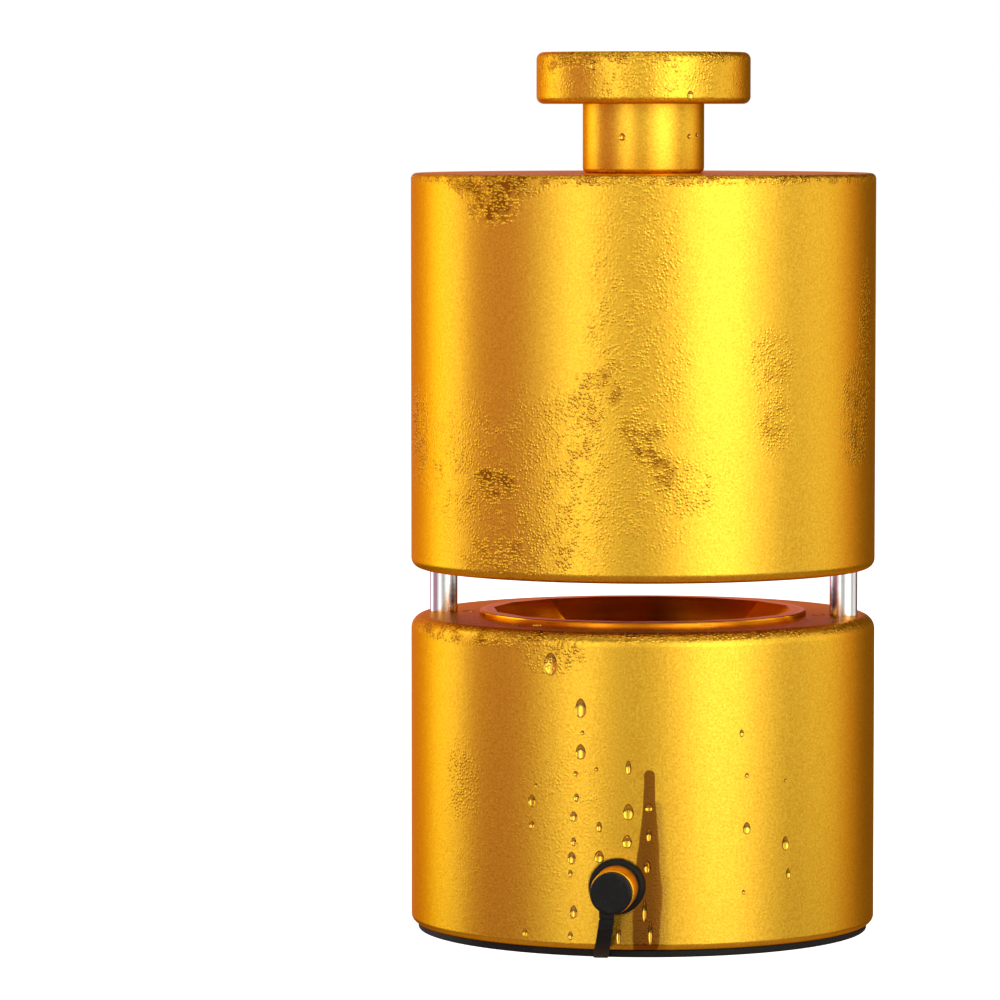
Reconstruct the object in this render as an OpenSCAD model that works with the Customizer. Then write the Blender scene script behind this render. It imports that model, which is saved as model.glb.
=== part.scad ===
// Gravity ice press: a heavy head slides down two guide pins and melts a block of ice to the shape of
// a brilliant-cut gem between two mould inserts. The melt water runs through drain holes into a tank
// in the base, and out of a plugged spout at the front.
// Millimetres. +Z is up, -Y is the front, and the origin is the centre of the face it rests on.

/* [Bodies] */
// Diameter of the base and of the head
body_d = 100; // [90:0.5:112]
// Height of the base's metal body
base_h = 66.5; // [62:0.5:80]
// Height of the head's metal body
head_h = 84.8; // [82:0.2:110]
// Gap between the two bodies at rest, where a block of ice holds the head up
rest_gap = 10.2; // [2:0.1:30]
// Rounding of the base's top edge
base_top_round = 3; // [0.5:0.1:3.4]
// Rounding of the base's bottom edge
base_foot_round = 1.5; // [0.5:0.1:2.5]
// Rounding of the head's bottom edge
head_foot_round = 2; // [0.5:0.1:2.5]
// Rounding of the head's top edge
head_top_round = 1.2; // [0.5:0.1:4]

/* [Knob] */
// Diameter of the knob's disc
knob_d = 46; // [36:0.5:60]
// Thickness of the knob's disc
knob_t = 11.1; // [7:0.1:18]
// Rounding of the disc's edges
knob_round = 1.6; // [0.5:0.1:3]
// Diameter of the knob's stem
stem_d = 26.1; // [20:0.1:32]
// Height of the stem, from the head to the disc
stem_h = 14.8; // [12:0.1:30]
// Bevel at the stem's foot
stem_bevel = 1; // [0.2:0.1:2]

/* [Mould] */
// Diameter of the gem across its girdle
gem_d = 65; // [50:0.5:71]
// Height of the gem's crown
crown_h = 17; // [10:0.5:20]
// Depth of the gem's pavilion
pavilion_h = 31; // [20:0.5:32]
// Diameter of the gem's table, across its corners
table_d = 36; // [26:0.5:44]
// Metal left around the girdle in each mould insert
mould_wall = 2.7; // [2:0.1:3]
// How far the lower insert stands above the base
lip_h = 1; // [0.5:0.1:2]
// Bevel on the inserts' outer edges
mould_bevel = 0.4; // [0.1:0.1:0.8]
// Metal under the pavilion's point
point_floor = 5; // [4:0.5:8]
// Metal above the crown's table
table_roof = 15; // [12:0.5:18]
// Drain hole at the pavilion's point
point_drain_d = 3; // [2:0.5:4]

/* [Guide pins] */
// Diameter of the two guide pins
pin_d = 6; // [5:0.1:6.4]
// Distance from the body's side to a pin's axis
pin_inset = 6.6; // [6.5:0.1:7]
// Depth that a pin is pressed into the base
pin_seat = 25; // [15:0.5:35]
// Length of a pin above the base
pin_reach = 78; // [50:0.5:79]
// Wall of the bronze bushes in the head
bush_wall = 1; // [0.8:0.1:1.3]
// Length of the bushes
bush_len = 16; // [8:0.5:30]

/* [Tank] */
// Wall of the melt water tank
tank_wall = 9.5; // [9:0.1:10]
// Metal between the tank and the lower mould
web_t = 5; // [4.5:0.5:8]
// Wall around the tank's floor plate
floor_wall = 3.5; // [3:0.1:3.8]
// Thickness of the floor plate
floor_t = 4.4; // [3:0.1:6]
// Thickness of the gasket on the floor plate
gasket_t = 0.8; // [0.5:0.1:1.5]
// Thickness of the rubber pad under the base
pad_t = 1.5; // [1:0.1:3]
// Depth of the pocket that locates the pad
pad_pocket = 1.5; // [1:0.1:3]
// How far the pad's edge stays inside the body's side
pad_inset = 1.5; // [1:0.1:3]
// Diameter of the drain holes beside the lower mould
drain_hole_d = 3; // [2:0.1:3.4]
// Number of drain holes
drain_holes = 6; // [4:2:8]
// Distance from the mould's side to a drain hole's axis
drain_hole_offset = 2.8; // [2.4:0.1:3]
// How far the tank's ceiling reaches past the drain holes
gallery_step = 0.95; // [0.5:0.05:1.5]
// Height of the tank's ceiling zone that reaches past the drain holes
gallery_h = 4; // [2:0.5:6]

/* [Spout and plug] */
// Height of the spout's axis above the rest face
spout_z = 15.1; // [14.5:0.1:19]
// Outer diameter of the spout
spout_d = 9.2; // [8.6:0.1:10.4]
// Length of the spout outside its rubber ring
spout_len = 8; // [5:0.1:16]
// Bore of the spout
spout_bore_d = 6; // [4:0.1:6.2]
// Diameter of the spout's threaded end
spout_thread_d = 8; // [7.2:0.1:8.4]
// Outer diameter of the rubber ring behind the spout
ring_d = 11.7; // [11:0.1:12.4]
// Thickness of the rubber ring
ring_t = 2; // [1.2:0.1:3]
// Depth of the flat that the ring sits on
ring_seat = 0.6; // [0.5:0.1:1]
// Diameter of the plug's head
plug_head_d = 8.7; // [8:0.1:9.6]
// Thickness of the plug's head
plug_head_t = 3.2; // [2.4:0.1:5]
// Length of the plug's stem in the spout
plug_stem = 6.5; // [5:0.1:8]
// Width of the strap that ties the plug to the pad
strap_w = 3.2; // [2:0.1:4]
// Thickness of the strap
strap_t = 1.2; // [0.8:0.1:1.3]

/* [Fasteners] */
// Diameter of the draw stud
stud_d = 8; // [6:0.5:10]
// Depth that the stud is screwed into the upper mould and into the knob
stud_grip = 10; // [7:0.5:11]
// Diameter of the dowels that stop the moulds turning
dowel_d = 3; // [2:0.5:4]
// Length of the dowels
dowel_len = 8; // [5:0.5:8]
// Distance from the axis to the dowels and the mould screws
mould_screw_r = 24; // [20:0.5:26]
// Diameter of the mould screws
mould_screw_d = 4; // [3:0.5:4]
// Number of mould screws
mould_screws_n = 3; // [3:1:4]
// Depth that the mould screws reach into the lower mould
mould_screw_grip = 9; // [6:0.5:14]
// Diameter of the floor plate's screws
floor_screw_d = 3; // [2.5:0.1:3]
// Number of floor plate screws
floor_screws_n = 4; // [4:1:8]
// Depth that the floor plate's screws reach into the body
floor_screw_grip = 8; // [5:0.5:10]

/* [Hidden] */
$fn = 96;

gold = "#dca21e";
gold_dark = "#c98d16";
steel = "#c9ccd0";
bronze = "#b08d57";
rubber = "#242421";

// Overlap of a cutter past the face that it cuts
past = 1;
// Radial clearances
seat_fit = 0.05; // of an insert, stud or screw in its hole
press_fit = 0.02; // of a pressed pin, dowel or bush in its hole
slide_fit = 0.05; // of the pins in their bushes and of the plug in its spout
soft_fit = 0.3; // of rubber and gasket edges
guide_relief = 0.3; // of the pins in the head above the bushes
tip_room = 1; // past the end of a stud, dowel or screw in a blind hole
least_land = 0.8; // of metal between two holes beside each other
edge_land = 0.02; // of flat metal between a hole and a rounded edge

// Heights
base_z = pad_t;
base_top_z = base_z + base_h;
lip_z = base_top_z + lip_h;
head_z = base_top_z + rest_gap;
head_top_z = head_z + head_h;
knob_z = head_top_z + stem_h;
floor_z = base_z + pad_pocket;
floor_top_z = floor_z + floor_t;
tank_z = floor_top_z + gasket_t;
mould_z = lip_z - pavilion_h - point_floor;
tank_top_z = mould_z - web_t;
crown_mould_h = crown_h + table_roof;
crown_mould_top_z = head_z + crown_mould_h;

// Radii
body_r = body_d / 2;
gem_r = gem_d / 2;
mould_r = gem_r + mould_wall;
mould_bore_r = mould_r + seat_fit;
stud_r = stud_d / 2;
pin_r = pin_d / 2;
bush_bore_r = pin_r + slide_fit;
bush_r = bush_bore_r + bush_wall;

// The pins keep their distance from the body's side, and clear of the mould in a slim body
pin_clear_r = mould_bore_r + bush_r + press_fit + least_land;
pin_circle_r = max(body_r - pin_inset, pin_clear_r);

// Rounded edges end before the holes of the pins and bushes
base_top_edge = min(base_top_round, body_r - pin_circle_r - pin_r - press_fit - edge_land);
head_foot_edge = min(head_foot_round, body_r - pin_circle_r - bush_r - press_fit - edge_land);

tank_r = body_r - tank_wall;
floor_bore_r = body_r - floor_wall;
floor_r = floor_bore_r - soft_fit;
floor_screw_circle_r = (tank_r + floor_bore_r) / 2;
drain_circle_r = mould_bore_r + drain_hole_offset;
gallery_r = drain_circle_r + drain_hole_d / 2 + gallery_step;

// Pins: bevelled ends, and guide holes that leave room for them when the press is shut
pin_tip = 1;
guide_end_room = 2;
guide_depth = pin_reach - lip_h + guide_end_room;

// Mould seal: a round ring in a groove round the lower insert
seal_r = 0.9;
seal_nip = 0.02;
seal_room = 0.4; // of the groove above and below the seal, together
seal_below_top = 9;
seal_z = base_top_z - seal_below_top;
seal_centre_r = mould_bore_r - seal_r - seal_nip;
seal_groove_r = seal_centre_r - seal_r - seal_nip;
seal_groove_h = 2 * seal_r + seal_room;

// Angles of the first screws, and of the dowels, half-way between two mould screws
mould_screw_start = 30;
floor_screw_start = 45;
dowel_angle = mould_screw_start + 180 / mould_screws_n;

// The drain holes turn just far enough to keep clear of the pins' holes
pin_to_drain = pin_r + press_fit + drain_hole_d / 2 + least_land;
drain_turn_cos = (pow(drain_circle_r, 2) + pow(pin_circle_r, 2) - pow(pin_to_drain, 2))
    / (2 * drain_circle_r * pin_circle_r);
drain_turn = pin_circle_r - drain_circle_r < pin_to_drain ? acos(drain_turn_cos) : 0;

// Screw heads
cap_head_d = 1.75 * mould_screw_d;
cap_head_h = mould_screw_d;
cap_socket_d = 0.87 * mould_screw_d;
csk_head_d = 1.85 * floor_screw_d;
csk_head_h = (csk_head_d - floor_screw_d) / 2;
csk_socket_d = 0.75 * floor_screw_d;
socket_share = 0.5; // depth of a cap screw's socket, as a share of its head
csk_socket_depth = 0.9;
screw_room = 0.25; // radial room round a screw in the plate or web that it passes through

// Spout, measured outwards from the body's axis
ring_back = body_r - ring_seat;
ring_front = ring_back + ring_t;
spout_tip = ring_front + spout_len;
spout_root_gap = 1;
spout_root = tank_r + spout_root_gap;
plug_head_round = 0.7;
plug_tip_bevel = 0.5;
ring_round = 0.8;
spout_bevel = 0.4;

// Strap: a ribbon from a tongue on the pad to a lug under the plug's head
lug_len = 1;
lug_x = -0.9;
lug_y = -(spout_tip + plug_head_t / 2);
lug_z = spout_z - plug_head_d / 2 - lug_len;
tongue_x = -3.3;
tongue_out = 0.7;
tongue_root = 2.3;
tongue_y = -(body_r + tongue_out);
tongue_z = pad_t / 2;
strap_rings = 12;
// How it leaves the tongue, and how it reaches the lug from below
strap_out = 3.5;
strap_lift = 0.6;
strap_lean_low = 0.3;
strap_drop = 5;
strap_lean_high = 0.6;
strap_from = [tongue_x, tongue_y, tongue_z];
strap_pull_from = strap_from + [strap_lean_low, -strap_out, strap_lift];
strap_to = [lug_x, lug_y, lug_z];
strap_pull_to = strap_to + [-strap_lean_high, 0, -strap_drop];

// ---- Shapes that repeat -------------------------------------------------------------------------

// A solid disc with rounded outer edges, standing on z = 0
module rounded_disc(radius, height, top_round, foot_round) {
    rotate_extrude()
        difference() {
            square([radius, height]);
            translate([radius - top_round, height - top_round])
                difference() {
                    square(top_round + past);
                    circle(top_round);
                }
            translate([radius - foot_round, foot_round])
                rotate(-90)
                    difference() {
                        square(foot_round + past);
                        circle(foot_round);
                    }
        }
}

// A plain round hole from z_from up to z_to
module hole(radius, z_from, z_to) {
    translate([0, 0, z_from])
        cylinder(r = radius, h = z_to - z_from);
}

// A pin with a bevel at each end
module bevelled_pin(radius, z_from, z_to, bevel) {
    translate([0, 0, z_from])
        cylinder(r1 = radius - bevel, r2 = radius, h = bevel);
    translate([0, 0, z_from + bevel])
        cylinder(r = radius, h = z_to - z_from - 2 * bevel);
    translate([0, 0, z_to - bevel])
        cylinder(r1 = radius, r2 = radius - bevel, h = bevel);
}

// Copies evenly spaced on a circle, the first one at the angle start
module on_circle(radius, count, start = 0) {
    for (i = [0 : count - 1])
        rotate(start + i * 360 / count)
            translate([radius, 0, 0])
                children();
}

// Places a part that was drawn along +Z on the spout's axis, pointing out of the front
module on_spout_axis() {
    translate([0, 0, spout_z])
        rotate([90, 0, 0])
            children();
}

// ---- The gem that both moulds are cut to --------------------------------------------------------

gem_sides = 8;
half_step = 180 / gem_sides;
girdle_n = 2 * gem_sides;
// Where the star facets end and the lower girdle facets begin, from the middle to the girdle
star_share = 0.5;
lower_half_share = 0.3;

function polar(radius, angle, z) = [radius * cos(angle), radius * sin(angle), z];

// A main facet runs straight from an inner corner to the girdle. The height on it, half a step aside:
function main_facet_z(inner_r, inner_z, r) =
    inner_z * (gem_r - r * cos(half_step)) / (gem_r - inner_r);

function ring_of(count, radius, z, start) =
    [for (i = [0 : count - 1]) polar(radius, start + i * 360 / count, z)];

// The gem's upper half from its girdle at z = 0, with a straight collar below to cut the mouth
module crown_cutter() {
    table_r = table_d / 2;
    table_edge_r = table_r * cos(half_step);
    star_r = table_edge_r + star_share * (gem_r - table_edge_r);
    star_z = main_facet_z(table_r, crown_h, star_r);
    table = ring_of(gem_sides, table_r, crown_h, 0);
    stars = ring_of(gem_sides, star_r, star_z, half_step);
    girdle = ring_of(girdle_n, gem_r, 0, 0);
    mouth = ring_of(girdle_n, gem_r, -past, 0);
    star_0 = gem_sides;
    girdle_0 = 2 * gem_sides;
    mouth_0 = girdle_0 + girdle_n;
    faces = concat(
        [[for (i = [gem_sides - 1 : -1 : 0]) i]],
        [for (i = [0 : gem_sides - 1]) [i, (i + 1) % gem_sides, star_0 + i]],
        [for (i = [0 : gem_sides - 1])
            [i, star_0 + i, girdle_0 + 2 * i, star_0 + (i + gem_sides - 1) % gem_sides]],
        [for (i = [0 : gem_sides - 1]) [star_0 + i, girdle_0 + 2 * i + 1, girdle_0 + 2 * i]],
        [for (i = [0 : gem_sides - 1])
            [star_0 + i, girdle_0 + (2 * i + 2) % girdle_n, girdle_0 + 2 * i + 1]],
        [for (i = [0 : girdle_n - 1])
            [girdle_0 + i, girdle_0 + (i + 1) % girdle_n, mouth_0 + (i + 1) % girdle_n, mouth_0 + i]],
        [[for (i = [0 : girdle_n - 1]) mouth_0 + i]]);
    polyhedron(points = concat(table, stars, girdle, mouth), faces = faces);
}

// The gem's lower half from its girdle at z = 0 down to its point, with a collar above
module pavilion_cutter() {
    half_r = lower_half_share * gem_r;
    half_z = -main_facet_z(0, pavilion_h, half_r);
    girdle = ring_of(girdle_n, gem_r, 0, 0);
    mouth = ring_of(girdle_n, gem_r, past, 0);
    halves = ring_of(gem_sides, half_r, half_z, half_step);
    mouth_0 = girdle_n;
    halves_0 = 2 * girdle_n;
    point = halves_0 + gem_sides;
    faces = concat(
        [[for (i = [girdle_n - 1 : -1 : 0]) mouth_0 + i]],
        [for (i = [0 : girdle_n - 1])
            [mouth_0 + i, mouth_0 + (i + 1) % girdle_n, (i + 1) % girdle_n, i]],
        [for (i = [0 : gem_sides - 1]) [2 * i, 2 * i + 1, halves_0 + i]],
        [for (i = [0 : gem_sides - 1]) [2 * i + 1, (2 * i + 2) % girdle_n, halves_0 + i]],
        [for (i = [0 : gem_sides - 1])
            [2 * i, halves_0 + i, point, halves_0 + (i + gem_sides - 1) % gem_sides]]);
    polyhedron(points = concat(girdle, mouth, halves, [[0, 0, -pavilion_h]]), faces = faces);
}

// ---- Base ---------------------------------------------------------------------------------------

module base_pad() {
    grip_depth = 0.5;
    grip_w = 1.5;
    grip_edge = 8.2;
    grip_pitch = 10;
    grips_n = 3;
    color(rubber) {
        difference() {
            union() {
                cylinder(r = body_r - pad_inset, h = pad_t);
                hole(floor_r, 0, floor_z);
            }
            for (i = [0 : grips_n - 1], r = floor_r - grip_edge - i * grip_pitch)
                translate([0, 0, -past])
                    difference() {
                        cylinder(r = r + grip_w, h = grip_depth + past);
                        cylinder(r = r, h = grip_depth + past);
                    }
        }
        // Tongue that the strap grows from
        translate([tongue_x - strap_w / 2, tongue_y, tongue_z - strap_t / 2])
            cube([strap_w, tongue_out + pad_inset + tongue_root, strap_t]);
    }
}

module tank_floor() {
    color(gold_dark)
        difference() {
            hole(floor_r, floor_z, floor_top_z);
            on_circle(floor_screw_circle_r, floor_screws_n, floor_screw_start)
                floor_screw_cut();
        }
}

// Countersunk hole through the floor plate
module floor_screw_cut() {
    hole(floor_screw_d / 2 + screw_room, floor_z - past, floor_top_z + past);
    translate([0, 0, floor_z])
        cylinder(r1 = csk_head_d / 2 + screw_room, r2 = floor_screw_d / 2 + screw_room, h = csk_head_h);
}

module tank_gasket() {
    color(rubber)
        difference() {
            hole(floor_r, floor_top_z, tank_z);
            hole(tank_r, floor_top_z - past, tank_z + past);
            on_circle(floor_screw_circle_r, floor_screws_n, floor_screw_start)
                hole(floor_screw_d / 2 + screw_room, floor_top_z - past, tank_z + past);
        }
}

module floor_screws() {
    color(steel)
        on_circle(floor_screw_circle_r, floor_screws_n, floor_screw_start)
            difference() {
                union() {
                    translate([0, 0, floor_z])
                        cylinder(r1 = csk_head_d / 2, r2 = floor_screw_d / 2, h = csk_head_h);
                    hole(floor_screw_d / 2, floor_z + csk_head_h, tank_z + floor_screw_grip);
                }
                translate([0, 0, floor_z - past])
                    cylinder(d = csk_socket_d, h = csk_socket_depth + past, $fn = 6);
            }
}

module lower_body() {
    color(gold)
        difference() {
            translate([0, 0, base_z])
                rounded_disc(body_r, base_h, base_top_edge, base_foot_round);
            // Seat of the lower mould, and the tank with its floor
            hole(mould_bore_r, mould_z, base_top_z + past);
            hole(tank_r, floor_z, tank_top_z);
            hole(gallery_r, tank_top_z - gallery_h, tank_top_z);
            hole(floor_bore_r, base_z - past, tank_z);
            // Drain holes into the tank
            on_circle(drain_circle_r, drain_holes, drain_turn)
                hole(drain_hole_d / 2, tank_top_z - past, base_top_z + past);
            hole(point_drain_d / 2 + past, tank_top_z - past, mould_z + past);
            // Guide pins
            on_circle(pin_circle_r, 2)
                hole(pin_r + press_fit, base_top_z - pin_seat, base_top_z + past);
            // Screws and dowel of the lower mould
            on_circle(mould_screw_r, mould_screws_n, mould_screw_start)
                hole(mould_screw_d / 2 + screw_room, tank_top_z - past, mould_z + past);
            rotate(dowel_angle)
                translate([mould_screw_r, 0, 0])
                    hole(dowel_d / 2 + press_fit, mould_z - dowel_len / 2, mould_z + past);
            // Screws of the floor plate
            on_circle(floor_screw_circle_r, floor_screws_n, floor_screw_start)
                hole(floor_screw_d / 2 + seat_fit, floor_z, tank_z + floor_screw_grip + tip_room);
            // Spout
            on_spout_axis() {
                hole(spout_thread_d / 2 + seat_fit, tank_r - past, body_r + past);
                hole(ring_d / 2 + soft_fit, ring_back, body_r + past);
            }
        }
}

module pavilion_mould() {
    color(gold_dark)
        difference() {
            union() {
                hole(mould_r, mould_z, lip_z - mould_bevel);
                translate([0, 0, lip_z - mould_bevel])
                    cylinder(r1 = mould_r, r2 = mould_r - mould_bevel, h = mould_bevel);
            }
            translate([0, 0, lip_z])
                pavilion_cutter();
            hole(point_drain_d / 2, mould_z - past, lip_z - pavilion_h + point_drain_d);
            // Groove of the seal
            translate([0, 0, seal_z - seal_groove_h / 2])
                difference() {
                    cylinder(r = mould_r + past, h = seal_groove_h);
                    translate([0, 0, -past])
                        cylinder(r = seal_groove_r, h = seal_groove_h + 2 * past);
                }
            on_circle(mould_screw_r, mould_screws_n, mould_screw_start)
                hole(mould_screw_d / 2 + seat_fit, mould_z - past, mould_z + mould_screw_grip + tip_room);
            rotate(dowel_angle)
                translate([mould_screw_r, 0, 0])
                    hole(dowel_d / 2 + press_fit, mould_z - past, mould_z + dowel_len / 2 + tip_room);
        }
}

module mould_seal() {
    color(rubber)
        translate([0, 0, seal_z])
            rotate_extrude()
                translate([seal_centre_r, 0])
                    circle(seal_r);
}

module dowel_at(z) {
    color(steel)
        rotate(dowel_angle)
            translate([mould_screw_r, 0, 0])
                bevelled_pin(dowel_d / 2, z - dowel_len / 2, z + dowel_len / 2, 0.4);
}

module pavilion_dowel() {
    dowel_at(mould_z);
}

module mould_screws() {
    color(steel)
        on_circle(mould_screw_r, mould_screws_n, mould_screw_start)
            difference() {
                union() {
                    hole(cap_head_d / 2, tank_top_z - cap_head_h, tank_top_z);
                    hole(mould_screw_d / 2, tank_top_z, mould_z + mould_screw_grip);
                }
                translate([0, 0, tank_top_z - cap_head_h - past])
                    cylinder(d = cap_socket_d, h = socket_share * cap_head_h + past, $fn = 6);
            }
}

module guide_pin(side) {
    color(steel)
        translate([side * pin_circle_r, 0, 0])
            bevelled_pin(pin_r, base_top_z - pin_seat, base_top_z + pin_reach, pin_tip);
}

module guide_pin_left() {
    guide_pin(-1);
}

module guide_pin_right() {
    guide_pin(1);
}

// ---- Spout, plug and strap ----------------------------------------------------------------------

module spout_ring() {
    color(rubber)
        on_spout_axis()
            difference() {
                translate([0, 0, ring_back])
                    rounded_disc(ring_d / 2, ring_t, ring_round, ring_round / 2);
                hole(spout_thread_d / 2 + seat_fit, ring_back - past, ring_front + past);
            }
}

module drain_spout() {
    color(gold)
        on_spout_axis()
            difference() {
                union() {
                    hole(spout_thread_d / 2, spout_root, ring_front);
                    hole(spout_d / 2, ring_front, spout_tip - spout_bevel);
                    translate([0, 0, spout_tip - spout_bevel])
                        cylinder(r1 = spout_d / 2, r2 = spout_d / 2 - spout_bevel, h = spout_bevel);
                }
                hole(spout_bore_d / 2, spout_root - past, spout_tip + past);
            }
}

module drain_plug() {
    stem_r = spout_bore_d / 2 - slide_fit;
    color(rubber) {
        on_spout_axis() {
            translate([0, 0, spout_tip])
                rounded_disc(plug_head_d / 2, plug_head_t, plug_head_round, plug_head_round / 2);
            hole(stem_r, spout_tip - plug_stem + plug_tip_bevel, spout_tip + past);
            translate([0, 0, spout_tip - plug_stem])
                cylinder(r1 = stem_r - plug_tip_bevel, r2 = stem_r, h = plug_tip_bevel);
        }
        // Lug that the strap hangs from
        translate([lug_x - strap_w / 2, lug_y - strap_t / 2, lug_z])
            cube([strap_w, strap_t, spout_z - lug_z]);
    }
}

function curve_point(t) =
    pow(1 - t, 3) * strap_from
    + 3 * pow(1 - t, 2) * t * strap_pull_from
    + 3 * (1 - t) * t * t * strap_pull_to
    + t * t * t * strap_to;

// Angle of the strap in the YZ plane, level at the tongue and upright at the lug
function strap_turn(t) = 90 * t;

function strap_ring(t) =
    let (p = curve_point(t), a = strap_turn(t), half_w = strap_w / 2, half_t = strap_t / 2)
    [for (c = [[-1, -1], [1, -1], [1, 1], [-1, 1]])
        p + [c[0] * half_w, c[1] * half_t * sin(a), c[1] * half_t * cos(a)]];

module plug_strap() {
    rings = [for (i = [0 : strap_rings]) strap_ring(i / strap_rings)];
    last = 4 * strap_rings;
    sides = [for (i = [0 : strap_rings - 1], k = [0 : 3])
        [4 * i + k, 4 * i + (k + 1) % 4, 4 * i + 4 + (k + 1) % 4, 4 * i + 4 + k]];
    color(rubber)
        polyhedron(
            points = [for (r = rings, p = r) p],
            faces = concat([[3, 2, 1, 0]], sides, [[last, last + 1, last + 2, last + 3]]));
}

// ---- Head ---------------------------------------------------------------------------------------

module head_body() {
    color(gold)
        difference() {
            translate([0, 0, head_z])
                rounded_disc(body_r, head_h, head_top_round, head_foot_edge);
            hole(mould_bore_r, head_z - past, crown_mould_top_z);
            hole(stud_r + screw_room, crown_mould_top_z - past, head_top_z + past);
            on_circle(pin_circle_r, 2) {
                hole(bush_r + press_fit, head_z - past, head_z + bush_len);
                hole(pin_r + guide_relief, head_z, head_z + guide_depth);
            }
            rotate(dowel_angle)
                translate([mould_screw_r, 0, 0])
                    hole(dowel_d / 2 + press_fit, crown_mould_top_z - past,
                        crown_mould_top_z + dowel_len / 2 + tip_room);
        }
}

module crown_mould() {
    color(gold_dark)
        difference() {
            union() {
                hole(mould_r, head_z + mould_bevel, crown_mould_top_z);
                translate([0, 0, head_z])
                    cylinder(r1 = mould_r - mould_bevel, r2 = mould_r, h = mould_bevel);
            }
            translate([0, 0, head_z])
                crown_cutter();
            hole(stud_r + seat_fit, crown_mould_top_z - stud_grip - tip_room, crown_mould_top_z + past);
            rotate(dowel_angle)
                translate([mould_screw_r, 0, 0])
                    hole(dowel_d / 2 + press_fit, crown_mould_top_z - dowel_len / 2,
                        crown_mould_top_z + past);
        }
}

module crown_dowel() {
    dowel_at(crown_mould_top_z);
}

module draw_stud() {
    color(steel)
        bevelled_pin(stud_r, crown_mould_top_z - stud_grip, head_top_z + stud_grip, 0.8);
}

module guide_bush(side) {
    color(bronze)
        translate([side * pin_circle_r, 0, 0])
            difference() {
                hole(bush_r, head_z, head_z + bush_len);
                hole(bush_bore_r, head_z - past, head_z + bush_len + past);
            }
}

module guide_bush_left() {
    guide_bush(-1);
}

module guide_bush_right() {
    guide_bush(1);
}

module knob() {
    color(gold)
        difference() {
            union() {
                translate([0, 0, knob_z])
                    rounded_disc(knob_d / 2, knob_t, knob_round, knob_round);
                hole(stem_d / 2, head_top_z + stem_bevel, knob_z + past);
                translate([0, 0, head_top_z])
                    cylinder(r1 = stem_d / 2 - stem_bevel, r2 = stem_d / 2, h = stem_bevel);
            }
            hole(stud_r + seat_fit, head_top_z - past, head_top_z + stud_grip + tip_room);
        }
}

base_pad();
tank_floor();
tank_gasket();
floor_screws();
lower_body();
pavilion_mould();
mould_seal();
pavilion_dowel();
mould_screws();
guide_pin_left();
guide_pin_right();
spout_ring();
drain_spout();
drain_plug();
plug_strap();
head_body();
crown_mould();
crown_dowel();
draw_stud();
guide_bush_left();
guide_bush_right();
knob();
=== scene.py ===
import math

import bmesh
import bpy
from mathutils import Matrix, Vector


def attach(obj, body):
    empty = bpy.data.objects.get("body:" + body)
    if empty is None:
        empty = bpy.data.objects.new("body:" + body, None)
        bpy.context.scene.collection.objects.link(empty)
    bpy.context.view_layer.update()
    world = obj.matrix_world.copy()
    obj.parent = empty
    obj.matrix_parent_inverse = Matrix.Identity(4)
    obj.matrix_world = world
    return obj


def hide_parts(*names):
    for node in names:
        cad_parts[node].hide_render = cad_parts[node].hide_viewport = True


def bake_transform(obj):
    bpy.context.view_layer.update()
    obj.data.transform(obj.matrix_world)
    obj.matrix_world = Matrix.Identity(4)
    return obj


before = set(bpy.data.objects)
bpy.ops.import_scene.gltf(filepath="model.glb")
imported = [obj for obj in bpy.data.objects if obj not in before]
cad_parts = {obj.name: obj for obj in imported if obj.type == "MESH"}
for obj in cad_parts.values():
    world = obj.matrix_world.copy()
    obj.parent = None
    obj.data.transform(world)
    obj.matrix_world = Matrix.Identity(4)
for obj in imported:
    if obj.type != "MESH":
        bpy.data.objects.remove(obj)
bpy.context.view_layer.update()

# A gravity ice press in satin gold. The head slides on two steel pins over a base that holds the lower
# half of a gem-shaped mould. Sizes are in metres, in the frame of the solid model: +Z is up, the spout
# points along -Y, and the origin is the centre of the face that the press rests on.

MM = 0.001

# ---- Sizes of the real pieces ----------------------------------------------

BODY_R = 50 * MM
BASE_FOOT_Z = 1.5 * MM
BASE_TOP_Z = 68 * MM
BASE_TOP_ROUND = 3 * MM
BASE_FOOT_ROUND = 1.5 * MM
HEAD_Z = 78.2 * MM
HEAD_TOP_Z = 163 * MM
HEAD_FOOT_ROUND = 2 * MM
HEAD_TOP_ROUND = 1.2 * MM

KNOB_R = 23 * MM
KNOB_Z = 177.8 * MM
KNOB_TOP_Z = 188.9 * MM
KNOB_ROUND = 1.6 * MM
STEM_R = 13.05 * MM
STEM_BEVEL = 1 * MM
STUD_BORE_R = 4.05 * MM
STUD_HOLE_R = 4.25 * MM
STUD_BORE_DEPTH = 11 * MM

MOULD_R = 35.2 * MM
MOULD_BORE_R = 35.25 * MM
MOULD_Z = 33 * MM
LIP_Z = 69 * MM
MOULD_BEVEL = 0.4 * MM
MOULD_MEET_GAP = 0.02 * MM
UPPER_MOULD_TOP_Z = 110.2 * MM
POINT_DRAIN_R = 1.5 * MM
POINT_DRAIN_TOP_Z = 41 * MM
POINT_HOLE_R = 2.5 * MM
SEAL_Z = 59 * MM
SEAL_GROOVE_H = 2.2 * MM
SEAL_GROOVE_DEPTH = 1.79 * MM

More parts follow.
